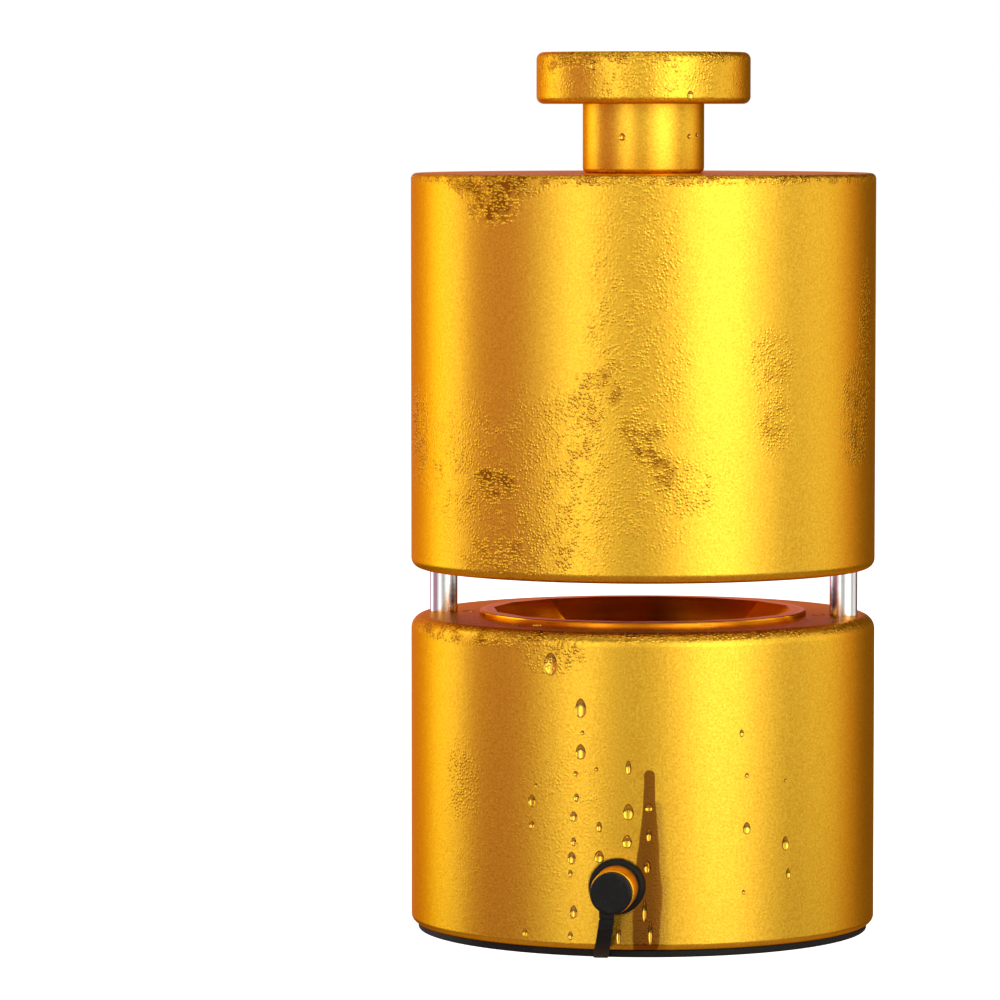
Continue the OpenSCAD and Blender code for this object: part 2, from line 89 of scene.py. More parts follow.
# The gem that the moulds are cut to: a brilliant cut, given ring by ring from its girdle. A ring is its
# distance from the girdle and the radii of its corners, at whole steps of the eight sides and half-way.
GEM_SIDES = 8
GEM_STEP = 360 / GEM_SIDES
GEM_R = 32.5 * MM
GIRDLE = (0, GEM_R, GEM_R)
TABLE_CORNER_R = 18 * MM
TABLE_EDGE_R = TABLE_CORNER_R * math.cos(math.radians(GEM_STEP / 2))
STAR_R = 24.565 * MM
STAR_RISE = 11.5 * MM
CROWN_RINGS = [
    (STAR_RISE, STAR_R * math.cos(math.radians(GEM_STEP / 2)), STAR_R),
    (17 * MM, TABLE_CORNER_R, TABLE_EDGE_R),
]
LOWER_HALF_R = 9.75 * MM
PAVILION_RINGS = [(-22.407 * MM, LOWER_HALF_R * math.cos(math.radians(GEM_STEP / 2)), LOWER_HALF_R)]
PAVILION_POINT = -31 * MM

PIN_R = 3 * MM
PIN_CIRCLE_R = 43.4 * MM
PIN_Z = 43 * MM
PIN_TOP_Z = 146 * MM
PIN_TIP = 1 * MM
PIN_HOLE_R = 3.02 * MM
GUIDE_BORE_R = 3.3 * MM
PINS = 2
GUIDE_TOP_Z = 157.2 * MM
BUSH_R = 4.05 * MM
BUSH_BORE_R = 3.05 * MM
BUSH_BEVEL = 0.2 * MM
BUSH_TOP_Z = 94.2 * MM

TANK_R = 40.5 * MM
TANK_TOP_Z = 28 * MM
FLOOR_BORE_R = 46.5 * MM
TANK_FLOOR_Z = 8.2 * MM
DRAIN_CIRCLE_R = 38.05 * MM
DRAIN_HOLE_R = 1.5 * MM
DRAIN_HOLES = 6
MOULD_SCREW_CIRCLE_R = 24 * MM
MOULD_SCREW_START = 30
MOULD_SCREWS = 3
MOULD_SCREW_HOLE_R = 2.25 * MM
MOULD_SCREW_THREAD_R = 2.05 * MM
MOULD_SCREW_TOP_Z = 43 * MM
FLOOR_SCREW_CIRCLE_R = 43.5 * MM
FLOOR_SCREW_START = 45
FLOOR_SCREWS = 4
FLOOR_SCREW_HOLE_R = 1.55 * MM
FLOOR_SCREW_TOP_Z = 17.2 * MM
DOWEL_HOLE_R = 1.52 * MM
DOWEL_CIRCLE_R = 24 * MM
DOWEL_TURN = 90
# How deep a dowel stands in the piece above it and in the one below it
DOWEL_UP = 5 * MM
DOWEL_DOWN = 4 * MM

PAD_R = 48.5 * MM
PAD_TOP_R = 46.2 * MM
PAD_T = 1.5 * MM
PAD_TOP_Z = 3 * MM
PAD_EDGE_ROUND = 0.25 * MM
GRIP_RADII = [39.5 * MM, 29.5 * MM, 19.5 * MM]
GRIP_W = 1.5 * MM
GRIP_DEPTH = 0.5 * MM

SPOUT_Z = 15.1 * MM
SPOUT_R = 4.6 * MM
SPOUT_THREAD_R = 4 * MM
SPOUT_BORE_R = 3 * MM
SPOUT_ROOT = 41.5 * MM
SPOUT_TIP = 59.4 * MM
SPOUT_TIP_ROUND = 0.4 * MM
SPOUT_ROOM = 0.05 * MM
RING_R = 5.85 * MM
RING_ROOM = 0.3 * MM
RING_BACK = 49.4 * MM
RING_BACK_ROUND = 0.4 * MM
RING_FRONT = 51.4 * MM
RING_FRONT_ROUND = 0.8 * MM
PLUG_R = 4.35 * MM
PLUG_T = 3.2 * MM
PLUG_FACE_ROUND = 0.7 * MM
PLUG_BACK_ROUND = 0.35 * MM
PLUG_STEM = 6.5 * MM
PLUG_STEM_R = 2.95 * MM
PLUG_STEM_ROUND = 0.5 * MM
STRAP_W = 3.2 * MM
STRAP_T = 1.2 * MM
STRAP_EDGE = 0.3 * MM
STRAP_STEPS = 24
STRAP_MIN_STEP = 0.2 * MM
TONGUE_TIP = Vector((-3.3, -50.7, 0.75)) * MM
TONGUE_LENGTH = 4.5 * MM
LUG_FOOT = Vector((-0.9, -61.0, 9.75)) * MM
# The strap's curve, from the pad's tongue to the lug under the plug, with the two points that pull it
STRAP_CURVE = [
    TONGUE_TIP,
    Vector((-3.0, -54.2, 1.35)) * MM,
    Vector((-1.5, -61.0, 4.75)) * MM,
    LUG_FOOT,
]

# Sides of a round shape, by how large it is
FINE_SIDES = 256
ROUND_SIDES = 128
SMALL_SIDES = 64
HOLE_SIDES = 32

# How far a cutter or a bore starts outside the face that it goes through
PAST = 1 * MM


# ---- Hand tools ------------------------------------------------------------

def leave_edit():
    if bpy.context.mode != "OBJECT":
        bpy.ops.object.mode_set(mode="OBJECT")


def deselect_all():
    leave_edit()
    bpy.ops.object.select_all(action="DESELECT")


def take(piece):
    """Makes a piece the only one selected, and the active one."""
    deselect_all()
    piece.select_set(True)
    bpy.context.view_layer.objects.active = piece


def settle(piece):
    """Puts a piece's place into its mesh, so that its object sits at the origin."""
    take(piece)
    bpy.ops.object.transform_apply(location=True, rotation=True, scale=True)


def new_cylinder(name, radius, z_low, z_high, sides, x=0, y=0):
    """A round bar along Z, as the start of a piece or as a cutter."""
    deselect_all()
    bpy.ops.mesh.primitive_cylinder_add(
        vertices=sides, radius=radius, depth=z_high - z_low,
        location=(x, y, (z_low + z_high) / 2))
    piece = bpy.context.object
    piece.name = name
    piece.data.name = name
    settle(piece)
    return piece


def pick(piece, kind, test):
    """Selects the faces, edges or vertices that pass the test, in edit mode."""
    if bpy.context.mode != "EDIT_MESH":
        take(piece)
        bpy.ops.object.mode_set(mode="EDIT")
    modes = {"verts": "VERT", "edges": "EDGE", "faces": "FACE"}
    bpy.ops.mesh.select_mode(type=modes[kind])
    bpy.ops.mesh.select_all(action="DESELECT")
    mesh = bmesh.from_edit_mesh(piece.data)
    count = 0
    for item in getattr(mesh, kind):
        if test(item):
            item.select_set(True)
            count += 1
    bmesh.update_edit_mesh(piece.data)
    if count == 0:
        raise ValueError(f"nothing on {piece.name} passes the test")


def near(a, b, tolerance=0.02 * MM):
    """Whether two sizes are the same, within a tolerance."""
    return abs(a - b) < tolerance


def radius_of(point):
    """How far a point lies from the axis of the bodies."""
    return math.hypot(point.x, point.y)


def pick_rim(piece, z, radius):
    """Selects the round edge at this height and radius."""
    pick(piece, "edges", lambda e: all(
        near(v.co.z, z) and near(radius_of(v.co), radius) for v in e.verts))


def pick_end(piece, z):
    """Selects the flat face at this height."""
    pick(piece, "faces", lambda f: abs(f.normal.z) > 0.9999 and near(f.calc_center_median().z, z))


def round_rim(piece, z, radius, amount, segments):
    """Rounds the edge at this height and radius."""
    pick_rim(piece, z, radius)
    bpy.ops.mesh.bevel(offset=amount, offset_type="OFFSET", segments=segments, affect="EDGES",
                       clamp_overlap=False)


def recess(wall, depth):
    """Insets the selected flat face and sinks it by a depth along Z."""
    bpy.ops.mesh.inset(thickness=wall)
    bpy.ops.mesh.extrude_region_move(TRANSFORM_OT_translate={"value": (0, 0, depth)})


def drill(piece, radius, z_low, z_high, circle_r=0.0, count=1, start=0, sides=HOLE_SIDES):
    """Drills round holes along Z, evenly spaced on a circle from the angle start."""
    bits = []
    for i in range(count):
        turn = math.radians(start + i * 360 / count)
        bits.append(new_cylinder("drill", radius, z_low, z_high, sides,
                                 circle_r * math.cos(turn), circle_r * math.sin(turn)))
    cut(piece, *bits)


def mirror_copy(piece, name):
    """A second piece with a mesh of its own, on the other side of the middle plane."""
    leave_edit()
    twin = piece.copy()
    twin.data = piece.data.copy()
    twin.name = name
    twin.data.name = name
    bpy.context.scene.collection.objects.link(twin)
    twin.scale = (-1, 1, 1)
    settle(twin)
    clean(twin)
    return twin


def apply_modifier(piece, kind, **settings):
    """Works one modifier into a piece's mesh."""
    take(piece)
    modifier = piece.modifiers.new(kind.lower(), kind)
    for key, value in settings.items():
        setattr(modifier, key, value)
    bpy.ops.object.modifier_apply(modifier=modifier.name)


def cut(piece, *cutters):
    """Cuts each cutter out of a piece, and puts the cutter away."""
    leave_edit()
    for cutter in cutters:
        apply_modifier(piece, "BOOLEAN", operation="DIFFERENCE", solver="EXACT", object=cutter)
        bpy.data.objects.remove(cutter)


def clean(piece):
    """Merges doubles and turns all the faces outwards."""
    pick(piece, "verts", lambda v: True)
    bpy.ops.mesh.remove_doubles(threshold=0.001 * MM)
    bpy.ops.mesh.normals_make_consistent(inside=False)
    leave_edit()


def smooth(piece, angle=38):
    """Shades round walls smooth, and keeps flat faces flat beside their rounded edges."""
    leave_edit()
    take(piece)
    bpy.ops.object.shade_smooth_by_angle(angle=math.radians(angle))
    apply_modifier(piece, "WEIGHTED_NORMAL", keep_sharp=True, weight=100, mode="FACE_AREA")


def turn_to_front(piece):
    """Lays a piece that was made along +Z on the spout's axis, pointing out of the front."""
    leave_edit()
    take(piece)
    piece.rotation_euler = (math.radians(90), 0, 0)
    piece.location = (0, 0, SPOUT_Z)
    settle(piece)


def finish_piece(piece, body, material, nodes=()):
    """Gives a finished piece its material, its body and the nodes that it stands for."""
    piece.data.materials.clear()
    piece.data.materials.append(material)
    if body:
        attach(piece, body)
    if nodes:
        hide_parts(*nodes)


# ---- Surface effects that several materials share --------------------------

def new_group(name, inputs, outputs):
    """A node group with named sockets. An input without a value is always linked."""
    group = bpy.data.node_groups.new(name, "ShaderNodeTree")
    kinds = {"float": "NodeSocketFloat", "color": "NodeSocketColor", "vector": "NodeSocketVector"}
    for label, kind, value in inputs:
        socket = group.interface.new_socket(label, in_out="INPUT", socket_type=kinds[kind])
        if value is not None:
            socket.default_value = value
    for label, kind in outputs:
        group.interface.new_socket(label, in_out="OUTPUT", socket_type=kinds[kind])
    return group


class Graph:
    """A node tree that is laid out from left to right as it is built."""

    def __init__(self, tree):
        self.tree = tree
        self.column = 0

    def add(self, kind, links=None, **settings):
        """Adds a node, feeds its sockets and sets its options."""
        node = self.tree.nodes.new(kind)
        node.location = (self.column * 180, 0)
        self.column += 1
        for key, value in settings.items():
            setattr(node, key, value)
        for key, value in (links or {}).items():
            self.feed(node, key, value)
        return node

    def feed(self, node, key, value):
        """Links an output to a socket, or sets the socket to a value."""
        socket = node.inputs[key]
        if isinstance(value, bpy.types.NodeSocket):
            self.tree.links.new(value, socket)
        else:
            socket.default_value = value

    def math(self, operation, a, b=0.0, c=0.0, clamp=False):
        node = self.add("ShaderNodeMath", operation=operation, use_clamp=clamp)
        for index, value in enumerate((a, b, c)):
            self.feed(node, index, value)
        return node.outputs[0]

    def mix(self, factor, a, b):
        """A colour mix."""
        node = self.add("ShaderNodeMix", data_type="RGBA")
        # The sockets for colours come after those for numbers and vectors
        self.feed(node, "Factor", factor)
        for index, value in ((6, a), (7, b)):
            self.feed(node, index, value)
        return node.outputs[2]

    def span(self, value, low, high, to_low=0.0, to_high=1.0, smooth=True):
        """Maps a value from one span to another, and keeps it inside."""
        node = self.add("ShaderNodeMapRange", clamp=True,
                        interpolation_type="SMOOTHSTEP" if smooth else "LINEAR")
        for key, v in (("Value", value), ("From Min", low), ("From Max", high),
                       ("To Min", to_low), ("To Max", to_high)):
            self.feed(node, key, v)
        return node.outputs["Result"]

    def noise(self, vector, scale, detail=2.0, roughness=0.5):
        node = self.add("ShaderNodeTexNoise", {
            "Vector": vector, "Scale": scale, "Detail": detail, "Roughness": roughness})
        return node.outputs["Fac"]


def group_ends(group):
    """A graph inside a group, with what comes into it and what goes out."""
    graph = Graph(group)
    source = graph.add("NodeGroupInput")
    sink = graph.add("NodeGroupOutput")
    return graph, source.outputs, sink.inputs


def make_bead_blast():
    """The fine even grain of a blasted and anodised surface."""
    group = new_group("bead_blast_grain",
                      [("Vector", "vector", None), ("Grain", "float", 2300.0), ("Cloud", "float", 60.0)],
                      [("Height", "float"), ("Fleck", "float"), ("Tone", "float")])
    graph, given, out = group_ends(group)
    fine = graph.noise(given["Vector"], given["Grain"], detail=2.5, roughness=0.65)
    pits = graph.add("ShaderNodeTexVoronoi", {"Vector": given["Vector"], "Scale": given["Grain"]},
                     feature="SMOOTH_F1")
    height = graph.math("MULTIPLY_ADD", pits.outputs["Distance"], 0.6, fine)
    cloud = graph.noise(given["Vector"], given["Cloud"], detail=4.0, roughness=0.6)
    tone = graph.math("ADD", graph.math("MULTIPLY", fine, 0.55), graph.math("MULTIPLY", cloud, 0.45))
    graph.tree.links.new(height, out["Height"])
    graph.tree.links.new(graph.span(fine, 0.32, 0.68, smooth=False), out["Fleck"])
    graph.tree.links.new(tone, out["Tone"])
    return group


def make_dew():
    """Fine beads of dew, packed close where the mask is high, with painted shade in the gaps between the
    beads.
    """
    group = new_group("dew_beads",
                      [("Vector", "vector", None), ("Mask", "float", 0.0), ("Size", "float", 1500.0)],
                      [("Height", "float"), ("Painted Shade", "float")])
    graph, given, out = group_ends(group)
    beads = graph.add("ShaderNodeTexVoronoi", {"Vector": given["Vector"], "Scale": given["Size"],
                                               "Randomness": 0.85}, feature="F1")
    patchy = graph.noise(given["Vector"], 260.0, detail=3.0, roughness=0.65)
    uneven = graph.span(patchy, 0.3, 0.7, 0.0, 2.0, smooth=False)
    amount = graph.math("MULTIPLY", given["Mask"], uneven, clamp=True)
    dome = graph.span(beads.outputs["Distance"], 0.6, 0.05)
    # Painted shade in the gaps between the beads, where the domes fall away
    painted_shade = graph.math("MULTIPLY", graph.span(dome, 0.55, 0.0), amount)
    graph.tree.links.new(graph.math("MULTIPLY", dome, amount), out["Height"])
    graph.tree.links.new(graph.math("MULTIPLY", painted_shade, amount), out["Painted Shade"])
    return group


def make_drop():
    """One drop of water on a round wall: a dome, heavier at its foot."""
    group = new_group("water_drop",
                      [("Angle", "float", 0.0), ("Z", "float", 0.0), ("At Angle", "float", 0.0),
                       ("At Z", "float", 0.0), ("Half Turn", "float", 1.0), ("Half Height", "float", 1.0)],
                      [("Dome", "float")])
    graph, given, out = group_ends(group)
    along = graph.math("DIVIDE", graph.math("SUBTRACT", given["Z"], given["At Z"]), given["Half Height"])
    across = graph.math("DIVIDE", graph.math("SUBTRACT", given["Angle"], given["At Angle"]),
                        given["Half Turn"])
    narrow = graph.math("MULTIPLY_ADD", along, -0.22, 1.0)
    across = graph.math("DIVIDE", across, narrow)
    far = graph.math("MULTIPLY_ADD", across, across, graph.math("MULTIPLY", along, along))
    dome = graph.math("SQRT", graph.math("SUBTRACT", 1.0, far, clamp=True))
    graph.tree.links.new(dome, out["Dome"])
    return group


def make_turned_marks():
    """Fine rings round an axis, as a lathe or a grinding wheel leaves them."""
    group = new_group("turned_marks",
                      [("Radius", "float", 0.0), ("Pitch", "float", 5000.0)],
                      [("Height", "float"), ("Tone", "float")])
    graph, given, out = group_ends(group)
    line = graph.add("ShaderNodeCombineXYZ", {"X": graph.math("MULTIPLY", given["Radius"], given["Pitch"])})
    fine = graph.noise(line.outputs[0], 1.0, detail=3.0, roughness=0.7)
    broad = graph.noise(line.outputs[0], 0.07, detail=2.0)
    graph.tree.links.new(fine, out["Height"])
    graph.tree.links.new(broad, out["Tone"])
    return group


BEAD_BLAST = make_bead_blast()
DEW = make_dew()
DROP = make_drop()
TURNED_MARKS = make_turned_marks()


# ---- Materials -------------------------------------------------------------

GOLD_PALE = (0.97, 0.61, 0.050, 1)
GOLD = (0.95, 0.53, 0.032, 1)
GOLD_DEEP = (0.80, 0.38, 0.024, 1)
GOLD_EDGE = (1.0, 0.55, 0.16, 1)
GOLD_WET_PAINTED_REFLECTION = (0.29, 0.093, 0.004, 1)
GOLD_SHADE = (0.30, 0.095, 0.006, 1)
STEEL_DULL = (0.62, 0.63, 0.65, 1)
STEEL_BRIGHT = (0.80, 0.80, 0.80, 1)
BRONZE_DARK = (0.48, 0.29, 0.12, 1)
BRONZE_PALE = (0.68, 0.46, 0.22, 1)
RUBBER_BLACK = (0.004, 0.004, 0.005, 1)
RUBBER_DUSTY = (0.016, 0.016, 0.017, 1)

# Depths of the reliefs, and the gloss of water
SATIN_GRAIN_DEPTH = 0.03 * MM
RUBBER_GRAIN_DEPTH = 0.05 * MM
TURNED_DEPTH = 0.01 * MM
GROUND_DEPTH = 0.006 * MM
DEW_DEPTH = 0.24 * MM
DROP_DEPTH = 0.45 * MM
WATER_ROUGHNESS = 0.04
WATER_IOR = 1.33


def new_material(name):
    """A material with its graph, its shader and the place on the piece."""
    material = bpy.data.materials.new(name)
    material.use_nodes = True
    graph = Graph(material.node_tree)
    shader = material.node_tree.nodes["Principled BSDF"]
    place = graph.add("ShaderNodeTexCoord").outputs["Object"]
    return material, graph, shader, place


def use_group(graph, group, **values):
    """Places a shared effect in a material, with its own values."""
    node = graph.add("ShaderNodeGroup", node_tree=group)
    for key, value in values.items():
        graph.feed(node, key, value)
    return node.outputs


def bump(graph, height, distance, strength=1.0, under=None):
    """A relief, laid over another one where that is given."""
    node = graph.add("ShaderNodeBump", {"Height": height, "Distance": distance, "Strength": strength})
    if under is not None:
        graph.feed(node, "Normal", under)
    return node.outputs["Normal"]


def patch_mask(graph, angle, z, spots):
    """A mask that is high in soft spots, each given by its place, size and depth on the body."""
    total = None
    for spot_angle, spot_z, half_turn, half_height, depth in spots:
        across = graph.math("DIVIDE", graph.math("SUBTRACT", angle, math.radians(spot_angle)),
                            math.radians(half_turn))
        along = graph.math("DIVIDE", graph.math("SUBTRACT", z, spot_z * MM), half_height * MM)
        far = graph.math("ADD", graph.math("MULTIPLY", across, across),
                         graph.math("MULTIPLY", along, along))
        spot = graph.span(far, 1.0, 0.0, 0.0, depth)
        total = spot if total is None else graph.math("MAXIMUM", total, spot)
    return total


def angle_and_height(graph, place):
    """The angle round the axis from the front, and the height, of a point on a body."""
    parts = graph.add("ShaderNodeSeparateXYZ", {"Vector": place}).outputs
    angle = graph.math("ARCTAN2", parts["X"], graph.math("MULTIPLY", parts["Y"], -1.0))
    return angle, parts["Z"], parts


def drops_height(graph, angle, z, radius, drops):
    """The height of all the drops on a round wall of this radius."""
    total = None
    for drop_angle, drop_z, half_width, half_height in drops:
        drop = graph.add("ShaderNodeGroup", {
            "Angle": angle, "Z": z, "At Angle": math.radians(drop_angle), "At Z": drop_z * MM,
            "Half Turn": half_width * MM / radius, "Half Height": half_height * MM}, node_tree=DROP)
        dome = drop.outputs["Dome"]
        total = dome if total is None else graph.math("MAXIMUM", total, dome)
    return total


def streak_mask(graph, angle, z, place, streak):
    """A wet run down the wall: a band that widens from its rounded top, with uneven edges."""
    top_angle, top_z, foot_angle, half_top, half_foot, blur = streak
    down = graph.math("DIVIDE", z, top_z * MM)
    middle = graph.span(down, 0.0, 1.0, math.radians(foot_angle), math.radians(top_angle), smooth=False)
    half = graph.span(down, 0.3, 1.0, half_foot * MM / BODY_R, half_top * MM / BODY_R)
    ragged = graph.math("MULTIPLY_ADD", graph.noise(place, 90.0, detail=2.0), 1.0, -0.5)
    across = graph.math("ADD", graph.math("DIVIDE", graph.math("SUBTRACT", angle, middle), half), ragged)
    over = graph.math("DIVIDE", graph.math("SUBTRACT", z, (top_z - half_top) * MM), half_top * MM)
    over = graph.math("MAXIMUM", over, 0.0)
    far = graph.math("MULTIPLY_ADD", across, across, graph.math("MULTIPLY", over, over))
    return graph.span(far, 1 + blur, 1 - blur)


def make_gold_satin(name, spots, radius=BODY_R, drops=(), streaks=()):
    """Bead-blasted gold anodising, with dew in soft spots, single drops, and wet runs; its colour carries
    painted shade between the dew beads, a painted highlight and painted shade on each drop, and a painted
    dark reflection in the wet runs.
    """
    material, graph, shader, place = new_material(name)
    angle, z, _ = angle_and_height(graph, place)
    grain = use_group(graph, BEAD_BLAST, Vector=place)
    dew = use_group(graph, DEW, Vector=place, Mask=patch_mask(graph, angle, z, spots))
    color = graph.mix(grain["Fleck"], GOLD_DEEP, GOLD_PALE)
    # Painted shade between the dew beads
    color = graph.mix(graph.math("MULTIPLY", dew["Painted Shade"], 0.85), color, GOLD_SHADE)
    rough = graph.math("MULTIPLY_ADD", grain["Tone"], 0.10, 0.30)
    rough = graph.math("MULTIPLY_ADD", dew["Height"], -0.12, rough)
    water = graph.math("MULTIPLY", dew["Height"], 0.5)
    surface = bump(graph, grain["Height"], SATIN_GRAIN_DEPTH, 0.5)
    surface = bump(graph, dew["Height"], DEW_DEPTH, under=surface)
    for streak, darkness in streaks:
        wet = streak_mask(graph, angle, z, place, streak)
        # Painted dark reflection: the wet run mirrors a dark part of the room, and that is painted into its
        # colour
        color = graph.mix(graph.math("MULTIPLY", wet, darkness), color, GOLD_WET_PAINTED_REFLECTION)
        rough = graph.math("MULTIPLY_ADD", wet, -0.10, rough)
        water = graph.math("MAXIMUM", water, graph.math("MULTIPLY", wet, 0.3))
    if drops:
        dome = drops_height(graph, angle, z, radius, drops)
        covered = graph.span(dome, 0.0, 0.25)
        # Painted highlight at the foot of a drop, where it gathers the light, and painted shade along its
        # edge
        edge = graph.math("MULTIPLY", covered, graph.span(dome, 0.7, 0.1))
        color = graph.mix(graph.math("MULTIPLY", graph.span(dome, 0.3, 0.8), 0.6), color, GOLD_PALE)
        color = graph.mix(graph.math("MULTIPLY", edge, 0.7), color, GOLD_SHADE)
        rough = graph.math("MULTIPLY_ADD", covered, -0.16, rough)
        water = graph.math("MAXIMUM", water, graph.math("MULTIPLY", covered, 0.4))
        # Seen through the drop, the wall bends the other way
        lens = graph.add("ShaderNodeBump", {"Height": dome, "Distance": DROP_DEPTH, "Normal": surface},
                         invert=True)
        surface = lens.outputs["Normal"]
    graph.feed(shader, "Base Color", color)
    graph.feed(shader, "Roughness", rough)
    graph.feed(shader, "Coat Weight", water)
    graph.feed(shader, "Normal", surface)
    shader.inputs["Coat Roughness"].default_value = WATER_ROUGHNESS
    shader.inputs["Coat IOR"].default_value = WATER_IOR
    shader.inputs["Metallic"].default_value = 1.0
    shader.inputs["Specular Tint"].default_value = GOLD_EDGE
    return material


def make_gold_turned(name, smoothest, roughest):
    """Turned gold anodising, with the tool's fine rings."""
    material, graph, shader, place = new_material(name)
    _, _, parts = angle_and_height(graph, place)
    radius = graph.math("SQRT", graph.math("ADD", graph.math("MULTIPLY", parts["X"], parts["X"]),
                                           graph.math("MULTIPLY", parts["Y"], parts["Y"])))
    run = graph.math("ADD", radius, parts["Z"])
    marks = use_group(graph, TURNED_MARKS, Radius=run)
    graph.feed(shader, "Base Color", graph.mix(marks["Tone"], GOLD_DEEP, GOLD))
    graph.feed(shader, "Roughness", graph.span(marks["Tone"], 0.2, 0.8, smoothest, roughest))
    shader.inputs["Metallic"].default_value = 1.0
    shader.inputs["Specular Tint"].default_value = GOLD_EDGE
    graph.feed(shader, "Normal", bump(graph, marks["Height"], TURNED_DEPTH, 0.35))
    return material


def make_steel():
    """Ground and polished steel, with faint rings round the pins."""
    material, graph, shader, place = new_material("ground_steel")
    parts = graph.add("ShaderNodeSeparateXYZ", {"Vector": place}).outputs
    marks = use_group(graph, TURNED_MARKS, Radius=parts["Z"], Pitch=9000.0)
    smear = graph.noise(place, 90.0, detail=3.0)
    graph.feed(shader, "Base Color", graph.mix(smear, STEEL_DULL, STEEL_BRIGHT))
    graph.feed(shader, "Roughness", graph.span(marks["Tone"], 0.2, 0.8, 0.12, 0.22))
    shader.inputs["Metallic"].default_value = 1.0
    graph.feed(shader, "Normal", bump(graph, marks["Height"], GROUND_DEPTH, 0.3))
    return material


def make_bronze():
    """Turned bearing bronze."""
    material, graph, shader, place = new_material("bearing_bronze")
    parts = graph.add("ShaderNodeSeparateXYZ", {"Vector": place}).outputs
    marks = use_group(graph, TURNED_MARKS, Radius=parts["Z"], Pitch=6000.0)
    stain = graph.noise(place, 400.0, detail=3.0)
    graph.feed(shader, "Base Color", graph.mix(stain, BRONZE_DARK, BRONZE_PALE))
    graph.feed(shader, "Roughness", graph.span(stain, 0.3, 0.7, 0.26, 0.40))
    shader.inputs["Metallic"].default_value = 1.0
    graph.feed(shader, "Normal", bump(graph, marks["Height"], TURNED_DEPTH, 0.4))
    return material


def make_rubber():
    """Moulded black rubber with a fine matt texture and a little dust."""
    material, graph, shader, place = new_material("moulded_rubber")
    grain = use_group(graph, BEAD_BLAST, Vector=place, Grain=1600.0, Cloud=160.0)
    dust = graph.span(grain["Tone"], 0.45, 0.75)
    graph.feed(shader, "Base Color", graph.mix(dust, RUBBER_BLACK, RUBBER_DUSTY))
    graph.feed(shader, "Roughness", graph.span(grain["Tone"], 0.3, 0.7, 0.45, 0.65))
    shader.inputs["Specular IOR Level"].default_value = 0.22
    graph.feed(shader, "Normal", bump(graph, grain["Height"], RUBBER_GRAIN_DEPTH, 0.6))
    return material


# Soft spots of dew on the two bodies and the knob: angle from the front in degrees, height in
# millimetres, half the width in degrees, half the height in millimetres, and how thick the dew lies
HEAD_DEW = [
    (-34, 161, 19, 4.5, 0.9), (-33, 157, 11, 6, 0.85), (-1.5, 120, 5, 8, 0.6), (-6, 116, 9, 9, 0.35),
    (-10.5, 105, 9, 8, 0.3), (3.5, 111, 5, 6, 0.5), (7, 107, 5.5, 7, 0.75), (10.5, 102, 5.5, 6.5, 0.7),
    (17, 98, 9, 8, 0.35), (-33, 98, 10, 5, 0.9), (-39, 95, 7, 4, 0.4), (-29, 83, 20, 7, 0.45),
    (-19, 86, 12, 10, 0.4), (39, 124, 9, 10, 0.35), (40, 112, 8, 9, 0.4), (72, 112, 12, 16, 0.5),
    (78, 128, 8, 22, 0.45), (-68, 107, 12, 14, 0.5), (5, 130, 17, 50, 0.22), (-20, 100, 60, 26, 0.2),
    (0, 162.5, 175, 2.0, 0.6),
]
BASE_DEW = [
    (-40, 66.5, 42, 2.8, 0.6), (-16, 63.5, 10, 5.5, 0.55), (18, 67.5, 150, 2.0, 0.5),
    (-43, 35, 9, 12, 0.22), (-30, 30, 40, 40, 0.06),
]
KNOB_DEW = [(-44, 187, 60, 3.2, 0.55), (20, 188, 150, 2.2, 0.5), (0, 183.5, 175, 7, 0.2)]

# Drops, most of them in rows down the base: angle from the front in degrees, then the height of the
# middle, half the width and half the height in millimetres
BASE_DROPS = [
    (-16.5, 61.3, 1.5, 2.4), (-8.9, 52.3, 1.2, 2.0), (-8.4, 47.1, 0.4, 0.5), (-8.9, 43.1, 1.1, 1.6),
    (-10.1, 38.5, 0.5, 0.6), (-9.9, 33.5, 0.6, 0.9), (-10.6, 29.5, 0.8, 1.1), (-10.6, 24.2, 0.6, 0.9),
    (-11.1, 20.8, 0.9, 1.3), (-11.4, 17.5, 0.5, 0.8), (-10.6, 9.5, 0.8, 1.4), (-11.4, 4.4, 0.6, 0.9),
    (-21.5, 32.4, 0.9, 1.3), (-20.4, 35.6, 0.3, 0.5), (-21.5, 27.3, 0.6, 0.9), (-23.4, 4.5, 0.6, 0.9),
    (-4.3, 27.5, 0.6, 1.1), (-4.3, 21.2, 1.0, 1.3), (-5.0, 39.6, 0.4, 0.4),
    (2.7, 40.0, 0.6, 1.5), (2.7, 30.7, 1.1, 1.7), (2.4, 24.5, 1.0, 1.4),
    (31.9, 26.8, 0.9, 1.3), (30.5, 46.8, 0.5, 0.8), (31.9, 37.9, 0.5, 0.5), (31.1, 13.4, 0.4, 0.5),
    (42.9, 23.0, 0.9, 1.5), (43.8, 16.6, 0.6, 1.1), (42.9, 36.3, 0.4, 0.4),
    (7.6, 31.6, 0.9, 0.9), (7.6, 25.9, 0.6, 1.5), (7.2, 19.2, 0.7, 1.4),
    (6.6, 10.0, 0.5, 2.4), (8.0, 5.4, 0.5, 2.6), (0.4, 5.0, 0.5, 2.2),
]
# Widths on the knob are for its disc, and come out narrower on its stem
KNOB_DROPS = [
    (-21.5, 186.0, 0.9, 1.1), (31.6, 179.7, 0.8, 0.9),
    (-14.2, 170.8, 1.3, 0.8), (54.4, 170.9, 1.0, 0.5), (67.0, 171.2, 1.0, 0.4),
]

# Wet runs down the front of the base: angle and height of the top, angle of the foot, half the width
# at the top and at the foot, how soft the edge is, and then how dark the run's painted dark reflection is
BASE_STREAKS = [
    ((2.8, 14.0, 2.0, 2.5, 4.6, 0.5), 0.30), ((9.2, 33.0, 8.6, 1.4, 2.8, 0.8), 0.40),
    ((7.8, 39.5, 6.9, 1.1, 2.7, 0.2), 0.95),
]

